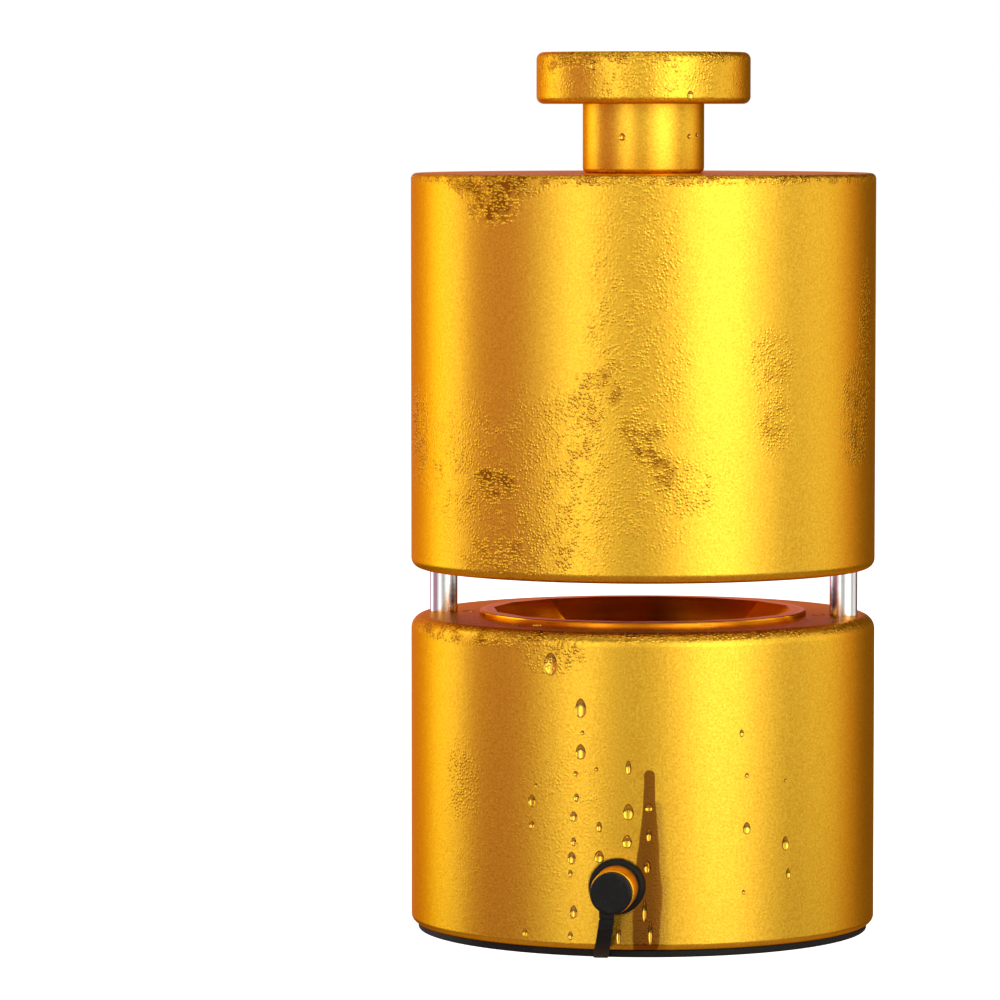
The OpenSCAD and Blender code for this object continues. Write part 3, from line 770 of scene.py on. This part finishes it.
gold_head = make_gold_satin("satin_gold_head", HEAD_DEW)
gold_base = make_gold_satin("satin_gold_base", BASE_DEW, BODY_R, BASE_DROPS, BASE_STREAKS)
gold_knob = make_gold_satin("satin_gold_knob", KNOB_DEW, KNOB_R, KNOB_DROPS)
gold_turned = make_gold_turned("turned_gold", 0.16, 0.26)
gold_spout = make_gold_turned("turned_gold_spout", 0.36, 0.50)
steel = make_steel()
bronze = make_bronze()
rubber = make_rubber()


# ---- Head ------------------------------------------------------------------

def make_head():
    head = new_cylinder("head_shell", BODY_R, HEAD_Z, HEAD_TOP_Z, FINE_SIDES)
    round_rim(head, HEAD_Z, BODY_R, HEAD_FOOT_ROUND, 8)
    round_rim(head, HEAD_TOP_Z, BODY_R, HEAD_TOP_ROUND, 6)
    # Seat of the upper mould
    pick_end(head, HEAD_Z)
    recess(BODY_R - HEAD_FOOT_ROUND - MOULD_BORE_R, UPPER_MOULD_TOP_Z - HEAD_Z)
    drill(head, GUIDE_BORE_R, HEAD_Z - PAST, GUIDE_TOP_Z, PIN_CIRCLE_R, PINS, sides=SMALL_SIDES)
    drill(head, BUSH_R, HEAD_Z - PAST, BUSH_TOP_Z, PIN_CIRCLE_R, PINS, sides=SMALL_SIDES)
    drill(head, STUD_HOLE_R, UPPER_MOULD_TOP_Z - PAST, HEAD_TOP_Z + PAST, sides=SMALL_SIDES)
    drill(head, DOWEL_HOLE_R, UPPER_MOULD_TOP_Z - PAST, UPPER_MOULD_TOP_Z + DOWEL_UP,
          DOWEL_CIRCLE_R, 1, DOWEL_TURN)
    clean(head)
    smooth(head)
    finish_piece(head, "head", gold_head, ["head_body"])


def make_knob():
    knob = new_cylinder("lifting_knob", KNOB_R, KNOB_Z, KNOB_TOP_Z, ROUND_SIDES)
    # Stem, drawn down from the disc
    pick_end(knob, KNOB_Z)
    recess(KNOB_R - STEM_R, HEAD_TOP_Z - KNOB_Z)
    # Bore for the stud
    pick_end(knob, HEAD_TOP_Z)
    recess(STEM_R - STUD_BORE_R, STUD_BORE_DEPTH)
    round_rim(knob, KNOB_TOP_Z, KNOB_R, KNOB_ROUND, 8)
    round_rim(knob, KNOB_Z, KNOB_R, KNOB_ROUND, 8)
    round_rim(knob, HEAD_TOP_Z, STEM_R, STEM_BEVEL, 3)
    leave_edit()
    clean(knob)
    smooth(knob)
    finish_piece(knob, "head", gold_knob, ["knob"])


# ---- Base ------------------------------------------------------------------

def make_base():
    base = new_cylinder("base_shell", BODY_R, BASE_FOOT_Z, BASE_TOP_Z, FINE_SIDES)
    round_rim(base, BASE_TOP_Z, BODY_R, BASE_TOP_ROUND, 10)
    round_rim(base, BASE_FOOT_Z, BODY_R, BASE_FOOT_ROUND, 6)
    # Seat of the lower mould from above, and the tank from below
    pick_end(base, BASE_TOP_Z)
    recess(BODY_R - BASE_TOP_ROUND - MOULD_BORE_R, MOULD_Z - BASE_TOP_Z)
    pick_end(base, BASE_FOOT_Z)
    recess(BODY_R - BASE_FOOT_ROUND - FLOOR_BORE_R, TANK_FLOOR_Z - BASE_FOOT_Z)
    recess(FLOOR_BORE_R - TANK_R, TANK_TOP_Z - TANK_FLOOR_Z)
    leave_edit()
    drill(base, DRAIN_HOLE_R, TANK_TOP_Z - PAST, BASE_TOP_Z + PAST, DRAIN_CIRCLE_R, DRAIN_HOLES)
    drill(base, PIN_HOLE_R, PIN_Z, BASE_TOP_Z + PAST, PIN_CIRCLE_R, PINS, sides=SMALL_SIDES)
    # Drain, screws and dowel under the lower mould, and the screws of the tank's floor
    drill(base, POINT_HOLE_R, TANK_TOP_Z - PAST, MOULD_Z + PAST)
    drill(base, MOULD_SCREW_HOLE_R, TANK_TOP_Z - PAST, MOULD_Z + PAST,
          MOULD_SCREW_CIRCLE_R, MOULD_SCREWS, MOULD_SCREW_START)
    drill(base, DOWEL_HOLE_R, MOULD_Z - DOWEL_DOWN, MOULD_Z + PAST, DOWEL_CIRCLE_R, 1, DOWEL_TURN)
    drill(base, FLOOR_SCREW_HOLE_R, TANK_FLOOR_Z - PAST, FLOOR_SCREW_TOP_Z,
          FLOOR_SCREW_CIRCLE_R, FLOOR_SCREWS, FLOOR_SCREW_START)
    seat = new_cylinder("spout_seat", RING_R + RING_ROOM, RING_BACK, BODY_R + PAST, SMALL_SIDES)
    turn_to_front(seat)
    thread = new_cylinder("spout_hole", SPOUT_THREAD_R + SPOUT_ROOM, TANK_R - PAST, BODY_R + PAST,
                          SMALL_SIDES)
    turn_to_front(thread)
    cut(base, seat, thread)
    clean(base)
    smooth(base)
    finish_piece(base, "base", gold_base, ["lower_body"])


# ---- Mould inserts ---------------------------------------------------------

def at_whole_step(vertex):
    """Whether a corner of the gem lies at a whole step of its eight sides, and not half-way."""
    turn = math.degrees(math.atan2(vertex.co.y, vertex.co.x)) % GEM_STEP
    return min(turn, GEM_STEP - turn) < 1


def draw_ring(gem, girdle_z, ring, next_ring, split):
    """Draws the gem's end face on to its next ring of corners, and splits the faces between them."""
    z = girdle_z + ring[0]
    next_z = girdle_z + next_ring[0]
    pick_end(gem, z)
    bpy.ops.mesh.extrude_region_move(TRANSFORM_OT_translate={"value": (0, 0, next_z - z)})
    for index, wanted in ((1, True), (2, False)):
        pick(gem, "verts", lambda v: near(v.co.z, next_z) and at_whole_step(v) == wanted)
        grow = next_ring[index] / ring[index]
        bpy.ops.transform.resize(value=(grow, grow, 1), center_override=(0, 0, next_z))
    pick(gem, "faces", lambda f: abs(f.normal.z) < 0.99 and all(
        near(v.co.z, z) or near(v.co.z, next_z) for v in f.verts))
    bpy.ops.mesh.quads_convert_to_tris(quad_method=split)


def new_gem_half(girdle_z, rings, point=None):
    """Half of the gem, with a straight collar past its girdle to cut the mouth of a mould."""
    collar = -PAST if rings[0][0] > 0 else PAST
    low, high = sorted((girdle_z, girdle_z + collar))
    gem = new_cylinder("gem", GEM_R, low, high, 2 * GEM_SIDES)
    start = GIRDLE
    for ring, split in zip(rings, ("SHORTEST_DIAGONAL", "LONGEST_DIAGONAL")):
        draw_ring(gem, girdle_z, start, ring, split)
        start = ring
    if point is not None:
        end_z = girdle_z + start[0]
        pick_end(gem, end_z)
        rise = girdle_z + point - end_z
        bpy.ops.mesh.extrude_region_move(TRANSFORM_OT_translate={"value": (0, 0, rise)})
        bpy.ops.mesh.merge(type="CENTER")
    # Triangles in one plane become one facet
    pick(gem, "faces", lambda f: True)
    bpy.ops.mesh.dissolve_limited(angle_limit=math.radians(0.3))
    leave_edit()
    return gem


def make_lower_mould():
    # The two moulds meet when the head is down, and a hair's room keeps their faces apart
    top_z = LIP_Z - MOULD_MEET_GAP
    mould = new_cylinder("lower_mould", MOULD_R, MOULD_Z, top_z, FINE_SIDES)
    round_rim(mould, top_z, MOULD_R, MOULD_BEVEL, 2)
    # Groove of the seal
    for z in (SEAL_Z - SEAL_GROOVE_H / 2, SEAL_Z + SEAL_GROOVE_H / 2):
        pick(mould, "faces", lambda f: True)
        bpy.ops.mesh.bisect(plane_co=(0, 0, z), plane_no=(0, 0, 1))
    pick(mould, "faces", lambda f: near(f.calc_center_median().z, SEAL_Z, SEAL_GROOVE_H / 4))
    bpy.ops.mesh.extrude_region_shrink_fatten(TRANSFORM_OT_shrink_fatten={"value": -SEAL_GROOVE_DEPTH})
    leave_edit()
    cut(mould, new_gem_half(LIP_Z, PAVILION_RINGS, PAVILION_POINT))
    drill(mould, POINT_DRAIN_R, MOULD_Z - PAST, POINT_DRAIN_TOP_Z)
    drill(mould, MOULD_SCREW_THREAD_R, MOULD_Z - PAST, MOULD_SCREW_TOP_Z,
          MOULD_SCREW_CIRCLE_R, MOULD_SCREWS, MOULD_SCREW_START)
    drill(mould, DOWEL_HOLE_R, MOULD_Z - PAST, MOULD_Z + DOWEL_UP, DOWEL_CIRCLE_R, 1, DOWEL_TURN)
    clean(mould)
    smooth(mould, 20)
    finish_piece(mould, "base", gold_turned, ["pavilion_mould"])


def make_upper_mould():
    mould = new_cylinder("upper_mould", MOULD_R, HEAD_Z, UPPER_MOULD_TOP_Z, FINE_SIDES)
    round_rim(mould, HEAD_Z, MOULD_R, MOULD_BEVEL, 2)
    leave_edit()
    cut(mould, new_gem_half(HEAD_Z, CROWN_RINGS))
    drill(mould, STUD_BORE_R, UPPER_MOULD_TOP_Z - STUD_BORE_DEPTH, UPPER_MOULD_TOP_Z + PAST,
          sides=SMALL_SIDES)
    drill(mould, DOWEL_HOLE_R, UPPER_MOULD_TOP_Z - DOWEL_DOWN, UPPER_MOULD_TOP_Z + PAST,
          DOWEL_CIRCLE_R, 1, DOWEL_TURN)
    clean(mould)
    smooth(mould, 20)
    finish_piece(mould, "head", gold_turned, ["crown_mould"])


# ---- Guide pins and bushes -------------------------------------------------

def make_guide_pins():
    pin = new_cylinder("pin_right", PIN_R, PIN_Z, PIN_TOP_Z, SMALL_SIDES, PIN_CIRCLE_R)
    for z in (PIN_Z, PIN_TOP_Z):
        pick_end(pin, z)
        bpy.ops.mesh.bevel(offset=PIN_TIP, segments=1, affect="EDGES")
    leave_edit()
    clean(pin)
    pair = [pin, mirror_copy(pin, "pin_left")]
    for piece, node in zip(pair, ("guide_pin_right", "guide_pin_left")):
        smooth(piece, 30)
        finish_piece(piece, "base", steel, [node])


def make_guide_bushes():
    bush = new_cylinder("bush_right", BUSH_R, HEAD_Z, BUSH_TOP_Z, SMALL_SIDES, PIN_CIRCLE_R)
    pick(bush, "faces", lambda f: abs(f.normal.z) > 0.99)
    bpy.ops.mesh.inset(thickness=BUSH_R - BUSH_BORE_R)
    bpy.ops.mesh.bridge_edge_loops()
    # A small chamfer eases the pin into the bore
    pick(bush, "edges", lambda e: all(
        near(v.co.z, HEAD_Z) and near(math.hypot(v.co.x - PIN_CIRCLE_R, v.co.y), BUSH_BORE_R)
        for v in e.verts))
    bpy.ops.mesh.bevel(offset=BUSH_BEVEL, segments=1, affect="EDGES")
    leave_edit()
    clean(bush)
    pair = [bush, mirror_copy(bush, "bush_left")]
    for piece, node in zip(pair, ("guide_bush_right", "guide_bush_left")):
        smooth(piece, 30)
        finish_piece(piece, "head", bronze, [node])


# ---- Spout, plug and strap -------------------------------------------------

def make_spout():
    spout = new_cylinder("spout_barrel", SPOUT_THREAD_R, SPOUT_ROOT, RING_FRONT, SMALL_SIDES)
    pick_end(spout, RING_FRONT)
    bpy.ops.mesh.extrude_region_move(TRANSFORM_OT_translate={"value": (0, 0, 0)})
    grow = SPOUT_R / SPOUT_THREAD_R
    bpy.ops.transform.resize(value=(grow, grow, 1), center_override=(0, 0, RING_FRONT))
    bpy.ops.mesh.extrude_region_move(TRANSFORM_OT_translate={"value": (0, 0, SPOUT_TIP - RING_FRONT)})
    round_rim(spout, SPOUT_TIP, SPOUT_R, SPOUT_TIP_ROUND, 3)
    leave_edit()
    cut(spout, new_cylinder("bore", SPOUT_BORE_R, SPOUT_ROOT - PAST, SPOUT_TIP + PAST, SMALL_SIDES))
    clean(spout)
    turn_to_front(spout)
    smooth(spout, 30)
    finish_piece(spout, "base", gold_spout, ["drain_spout"])

    ring = new_cylinder("spout_washer", RING_R, RING_BACK, RING_FRONT, SMALL_SIDES)
    round_rim(ring, RING_FRONT, RING_R, RING_FRONT_ROUND, 5)
    round_rim(ring, RING_BACK, RING_R, RING_BACK_ROUND, 3)
    leave_edit()
    cut(ring, new_cylinder("bore", SPOUT_THREAD_R + SPOUT_ROOM, RING_BACK - PAST, RING_FRONT + PAST,
                           SMALL_SIDES))
    clean(ring)
    turn_to_front(ring)
    smooth(ring, 30)
    finish_piece(ring, "base", rubber, ["spout_ring"])


def soft_block(name, low, high, edge):
    """A small moulded block between two corners, with eased edges."""
    deselect_all()
    middle = (low + high) / 2
    bpy.ops.mesh.primitive_cube_add(size=1, location=middle)
    block = bpy.context.object
    block.name = name
    block.scale = high - low
    settle(block)
    pick(block, "edges", lambda e: True)
    bpy.ops.mesh.bevel(offset=edge, segments=2, affect="EDGES")
    leave_edit()
    return block


def join(piece, *others):
    """Joins other solids to a piece as one skin, and puts them away."""
    for other in others:
        apply_modifier(piece, "BOOLEAN", operation="UNION", solver="EXACT", object=other)
        bpy.data.objects.remove(other)


def make_plug():
    plug = new_cylinder("rubber_plug", PLUG_R, SPOUT_TIP, SPOUT_TIP + PLUG_T, SMALL_SIDES)
    pick_end(plug, SPOUT_TIP)
    recess(PLUG_R - PLUG_STEM_R, -PLUG_STEM)
    round_rim(plug, SPOUT_TIP + PLUG_T, PLUG_R, PLUG_FACE_ROUND, 6)
    round_rim(plug, SPOUT_TIP, PLUG_R, PLUG_BACK_ROUND, 4)
    round_rim(plug, SPOUT_TIP - PLUG_STEM, PLUG_STEM_R, PLUG_STEM_ROUND, 3)
    turn_to_front(plug)
    half = Vector((STRAP_W / 2, STRAP_T / 2, 0))
    lug_top = LUG_FOOT + Vector((0, 0, SPOUT_Z - LUG_FOOT.z))
    join(plug, soft_block("lug", LUG_FOOT - half, lug_top + half, STRAP_EDGE))
    clean(plug)
    smooth(plug, 35)
    finish_piece(plug, "plug", rubber, ["drain_plug"])


def strap_point(t):
    a, b, c, d = STRAP_CURVE
    return (1 - t) ** 3 * a + 3 * (1 - t) ** 2 * t * b + 3 * (1 - t) * t ** 2 * c + t ** 3 * d


def make_strap():
    """A flat ribbon, drawn out along its curve: level at the pad's tongue, upright at the plug's lug."""
    start = strap_point(0)
    deselect_all()
    bpy.ops.mesh.primitive_plane_add(size=1, location=start, rotation=(math.radians(90), 0, 0))
    strap = bpy.context.object
    strap.name = "plug_ribbon"
    strap.scale = (STRAP_W, STRAP_T, 1)
    settle(strap)
    pick(strap, "faces", lambda f: True)
    for i in range(1, STRAP_STEPS + 1):
        here = strap_point(i / STRAP_STEPS)
        step = here - strap_point((i - 1) / STRAP_STEPS)
        bpy.ops.mesh.extrude_region_move(TRANSFORM_OT_translate={"value": step})
        bpy.ops.transform.rotate(value=math.radians(90 / STRAP_STEPS), orient_axis="X",
                                 center_override=here)
    # Rounded long edges
    pick(strap, "edges", lambda e: (
        len(e.link_faces) == 2 and e.calc_face_angle(0) > math.radians(60)
        and abs((e.verts[0].co - e.verts[1].co).x) < STRAP_W / 2
        and (e.verts[0].co - e.verts[1].co).length > STRAP_MIN_STEP))
    bpy.ops.mesh.bevel(offset=STRAP_EDGE, segments=3, affect="EDGES")
    leave_edit()
    clean(strap)
    smooth(strap, 40)
    finish_piece(strap, None, rubber, ["plug_strap"])
    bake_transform(strap)


def make_pad():
    pad = new_cylinder("rubber_pad", PAD_R, 0, PAD_T, ROUND_SIDES)
    pick_end(pad, PAD_T)
    recess(PAD_R - PAD_TOP_R, PAD_TOP_Z - PAD_T)
    round_rim(pad, PAD_T, PAD_R, PAD_EDGE_ROUND, 3)
    round_rim(pad, 0, PAD_R, PAD_EDGE_ROUND, 3)
    # Grip grooves in the underside
    reach = PAD_R - PAD_EDGE_ROUND
    for radius in GRIP_RADII:
        for edge in (radius, radius - GRIP_W):
            pick(pad, "faces", lambda f: f.normal.z < -0.99 and near(f.calc_center_median().z, 0)
                 and radius_of(f.calc_center_median()) < reach / 2)
            bpy.ops.mesh.inset(thickness=reach - edge)
            reach = edge
    for radius in GRIP_RADII:
        pick(pad, "faces", lambda f: f.normal.z < -0.99 and near(f.calc_center_median().z, 0)
             and near(radius_of(f.calc_center_median()), radius - GRIP_W / 2, GRIP_W / 3))
        bpy.ops.mesh.extrude_region_move(TRANSFORM_OT_translate={"value": (0, 0, GRIP_DEPTH)})
    leave_edit()
    half = Vector((STRAP_W / 2, 0, STRAP_T / 2))
    tongue_root = TONGUE_TIP + Vector((0, TONGUE_LENGTH, 0))
    join(pad, soft_block("tongue", TONGUE_TIP - half, tongue_root + half, STRAP_EDGE))
    clean(pad)
    smooth(pad, 35)
    finish_piece(pad, "base", rubber, ["base_pad"])


make_head()
make_knob()
make_base()
make_lower_mould()
make_upper_mould()
make_guide_pins()
make_guide_bushes()
make_spout()
make_plug()
make_strap()
make_pad()


# ---- Pieces that keep the solid model's shape ------------------------------

CARRIED_OVER = {
    "tank_floor": gold_turned, "tank_gasket": rubber, "floor_screws": steel, "mould_seal": rubber,
    "pavilion_dowel": steel, "mould_screws": steel, "crown_dowel": steel, "draw_stud": steel,
}
for node_name, node_material in CARRIED_OVER.items():
    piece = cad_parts[node_name]
    piece.data.materials.clear()
    piece.data.materials.append(node_material)


# ---- Floor, light and camera -----------------------------------------------

FLOOR_SIZE = 8
FLOOR_LIGHT = (0.86, 0.87, 0.88, 1)
FLOOR_DARK = (0.80, 0.82, 0.84, 1)
PALE = (1, 1, 1, 1)

# The camera, fitted to the photograph. Its angle is measured round the press from the front.
CAMERA_ANGLE = 6.03
CAMERA_DISTANCE = 1.2794
CAMERA_HEIGHT = 0.17785
CAMERA_TILT = 3.818
CAMERA_YAW = 1.381
CAMERA_LENS = 213.8
CAMERA_SENSOR = 36
CAMERA_CLIP = 0.05

# Softboxes all round the press, past the table's edge: angle of the middle from the camera's side and
# half the width, in degrees, then brightness. Those up to FILL_POWER have the pinker fill colour.
SOFTBOX_DISTANCE = 1.6
SOFTBOX_LOW = -0.26
SOFTBOX_HIGH = 1.5
KEY_COLOR = (0.96, 1.0, 0.97)
FILL_COLOR = (1.50, 0.74, 1.20)
FILL_POWER = 0.45
SOFTBOXES = [
    ("rear", -165, 22.5, 0.35),
    ("left_rear", -135, 7.5, 0.4),
    ("left_rim", -112.5, 15, 1.7),
    ("left_wall", -75, 22.5, 0.3),
    ("left_edge", -45, 7.5, 1.0),
    ("left_key", -30, 7.5, 2.3),
    ("left_fill", -15, 7.5, 0.75),
    ("front_fill", 0, 7.5, 0.55),
    ("right_fill", 15, 7.5, 1.25),
    ("right_key", 37.5, 15, 2.7),
    ("right_edge", 60, 7.5, 1.3),
    ("right_wall", 75, 7.5, 0.52),
    ("right_rim", 97.5, 15, 1.0),
    ("right_rear", 120, 7.5, 0.4),
]

TOP_SIZE = 1.4
TOP_HEIGHT = 1.7
TOP_POWER = 1.2

# What the metal mirrors beside the softboxes, and how steeply down the table starts to show, as the
# height of a line one long
ROOM_LIGHT = (0.12, 0.074, 0.042, 1)
TABLE_LIGHT = (0.42, 0.26, 0.16, 1)
TABLE_STARTS = -0.28
TABLE_FULL = -0.50


def make_floor_material():
    """A pale matt floor that glows a little, as a lit table does, so that it runs out to white."""
    material, graph, shader, place = new_material("pale_floor")
    grain = use_group(graph, BEAD_BLAST, Vector=place, Grain=300.0, Cloud=3.0)
    graph.feed(shader, "Base Color", graph.mix(grain["Tone"], FLOOR_DARK, FLOOR_LIGHT))
    shader.inputs["Roughness"].default_value = 0.8
    shader.inputs["Emission Color"].default_value = PALE
    seen = graph.add("ShaderNodeLightPath").outputs["Is Camera Ray"]
    graph.feed(shader, "Emission Strength", seen)
    return material


def make_floor():
    deselect_all()
    bpy.ops.mesh.primitive_plane_add(size=FLOOR_SIZE, location=(0, 0, 0))
    floor = bpy.context.object
    floor.name = "floor"
    floor.data.materials.append(make_floor_material())
    # The metal mirrors the softboxes down past the table's edge, and the room, but not the floor
    floor.visible_glossy = False
    floor.visible_shadow = False


def make_softboxes():
    for name, angle, half_width, power in SOFTBOXES:
        turn = math.radians(CAMERA_ANGLE + angle)
        light = bpy.data.lights.new(name, "AREA")
        light.shape = "RECTANGLE"
        light.size = 2 * SOFTBOX_DISTANCE * math.tan(math.radians(half_width))
        light.size_y = SOFTBOX_HIGH - SOFTBOX_LOW
        # The energy that gives each softbox its brightness, whatever its area
        light.energy = power * light.size * light.size_y * math.pi
        light.color = KEY_COLOR if power > FILL_POWER else FILL_COLOR
        softbox = bpy.data.objects.new(name, light)
        spot = Vector((math.sin(turn), -math.cos(turn), 0)) * SOFTBOX_DISTANCE
        softbox.location = spot + Vector((0, 0, (SOFTBOX_LOW + SOFTBOX_HIGH) / 2))
        softbox.rotation_euler = (math.radians(90), 0, turn)
        softbox.visible_camera = False
        bpy.context.scene.collection.objects.link(softbox)


def make_top_softbox():
    """A softbox overhead, for the rims and the tops."""
    light = bpy.data.lights.new("top", "AREA")
    light.shape = "SQUARE"
    light.size = TOP_SIZE
    light.energy = TOP_POWER * TOP_SIZE * TOP_SIZE * math.pi
    softbox = bpy.data.objects.new("top", light)
    softbox.location = (0, 0, TOP_HEIGHT)
    softbox.visible_camera = False
    bpy.context.scene.collection.objects.link(softbox)


def make_world():
    """Pale to the camera, and in what the metal mirrors a warm dim room with a pale table low down."""
    world = bpy.data.worlds.new("studio")
    bpy.context.scene.world = world
    world.use_nodes = True
    graph = Graph(world.node_tree)
    world.node_tree.nodes.clear()
    pale = graph.add("ShaderNodeBackground", {"Color": PALE})
    way = graph.add("ShaderNodeTexCoord").outputs["Generated"]
    height = graph.add("ShaderNodeSeparateXYZ", {"Vector": way}).outputs["Z"]
    around = graph.mix(graph.span(height, TABLE_STARTS, TABLE_FULL), ROOM_LIGHT, TABLE_LIGHT)
    room = graph.add("ShaderNodeBackground", {"Color": around})
    path = graph.add("ShaderNodeLightPath")
    mixed = graph.add("ShaderNodeMixShader")
    graph.feed(mixed, 0, path.outputs["Is Camera Ray"])
    graph.feed(mixed, 1, room.outputs[0])
    graph.feed(mixed, 2, pale.outputs[0])
    graph.add("ShaderNodeOutputWorld", {"Surface": mixed.outputs[0]})


def make_camera():
    camera_data = bpy.data.cameras.new("camera")
    camera_data.lens = CAMERA_LENS
    camera_data.sensor_width = CAMERA_SENSOR
    camera_data.clip_start = CAMERA_CLIP
    camera = bpy.data.objects.new("camera", camera_data)
    turn = math.radians(CAMERA_ANGLE)
    camera.location = (CAMERA_DISTANCE * math.sin(turn), -CAMERA_DISTANCE * math.cos(turn), CAMERA_HEIGHT)
    camera.rotation_euler = (math.radians(90 - CAMERA_TILT), 0, turn + math.radians(CAMERA_YAW))
    bpy.context.scene.collection.objects.link(camera)
    bpy.context.scene.camera = camera


make_floor()
make_softboxes()
make_top_softbox()
make_world()
make_camera()
bpy.context.scene.view_settings.view_transform = "Standard"

deselect_all()
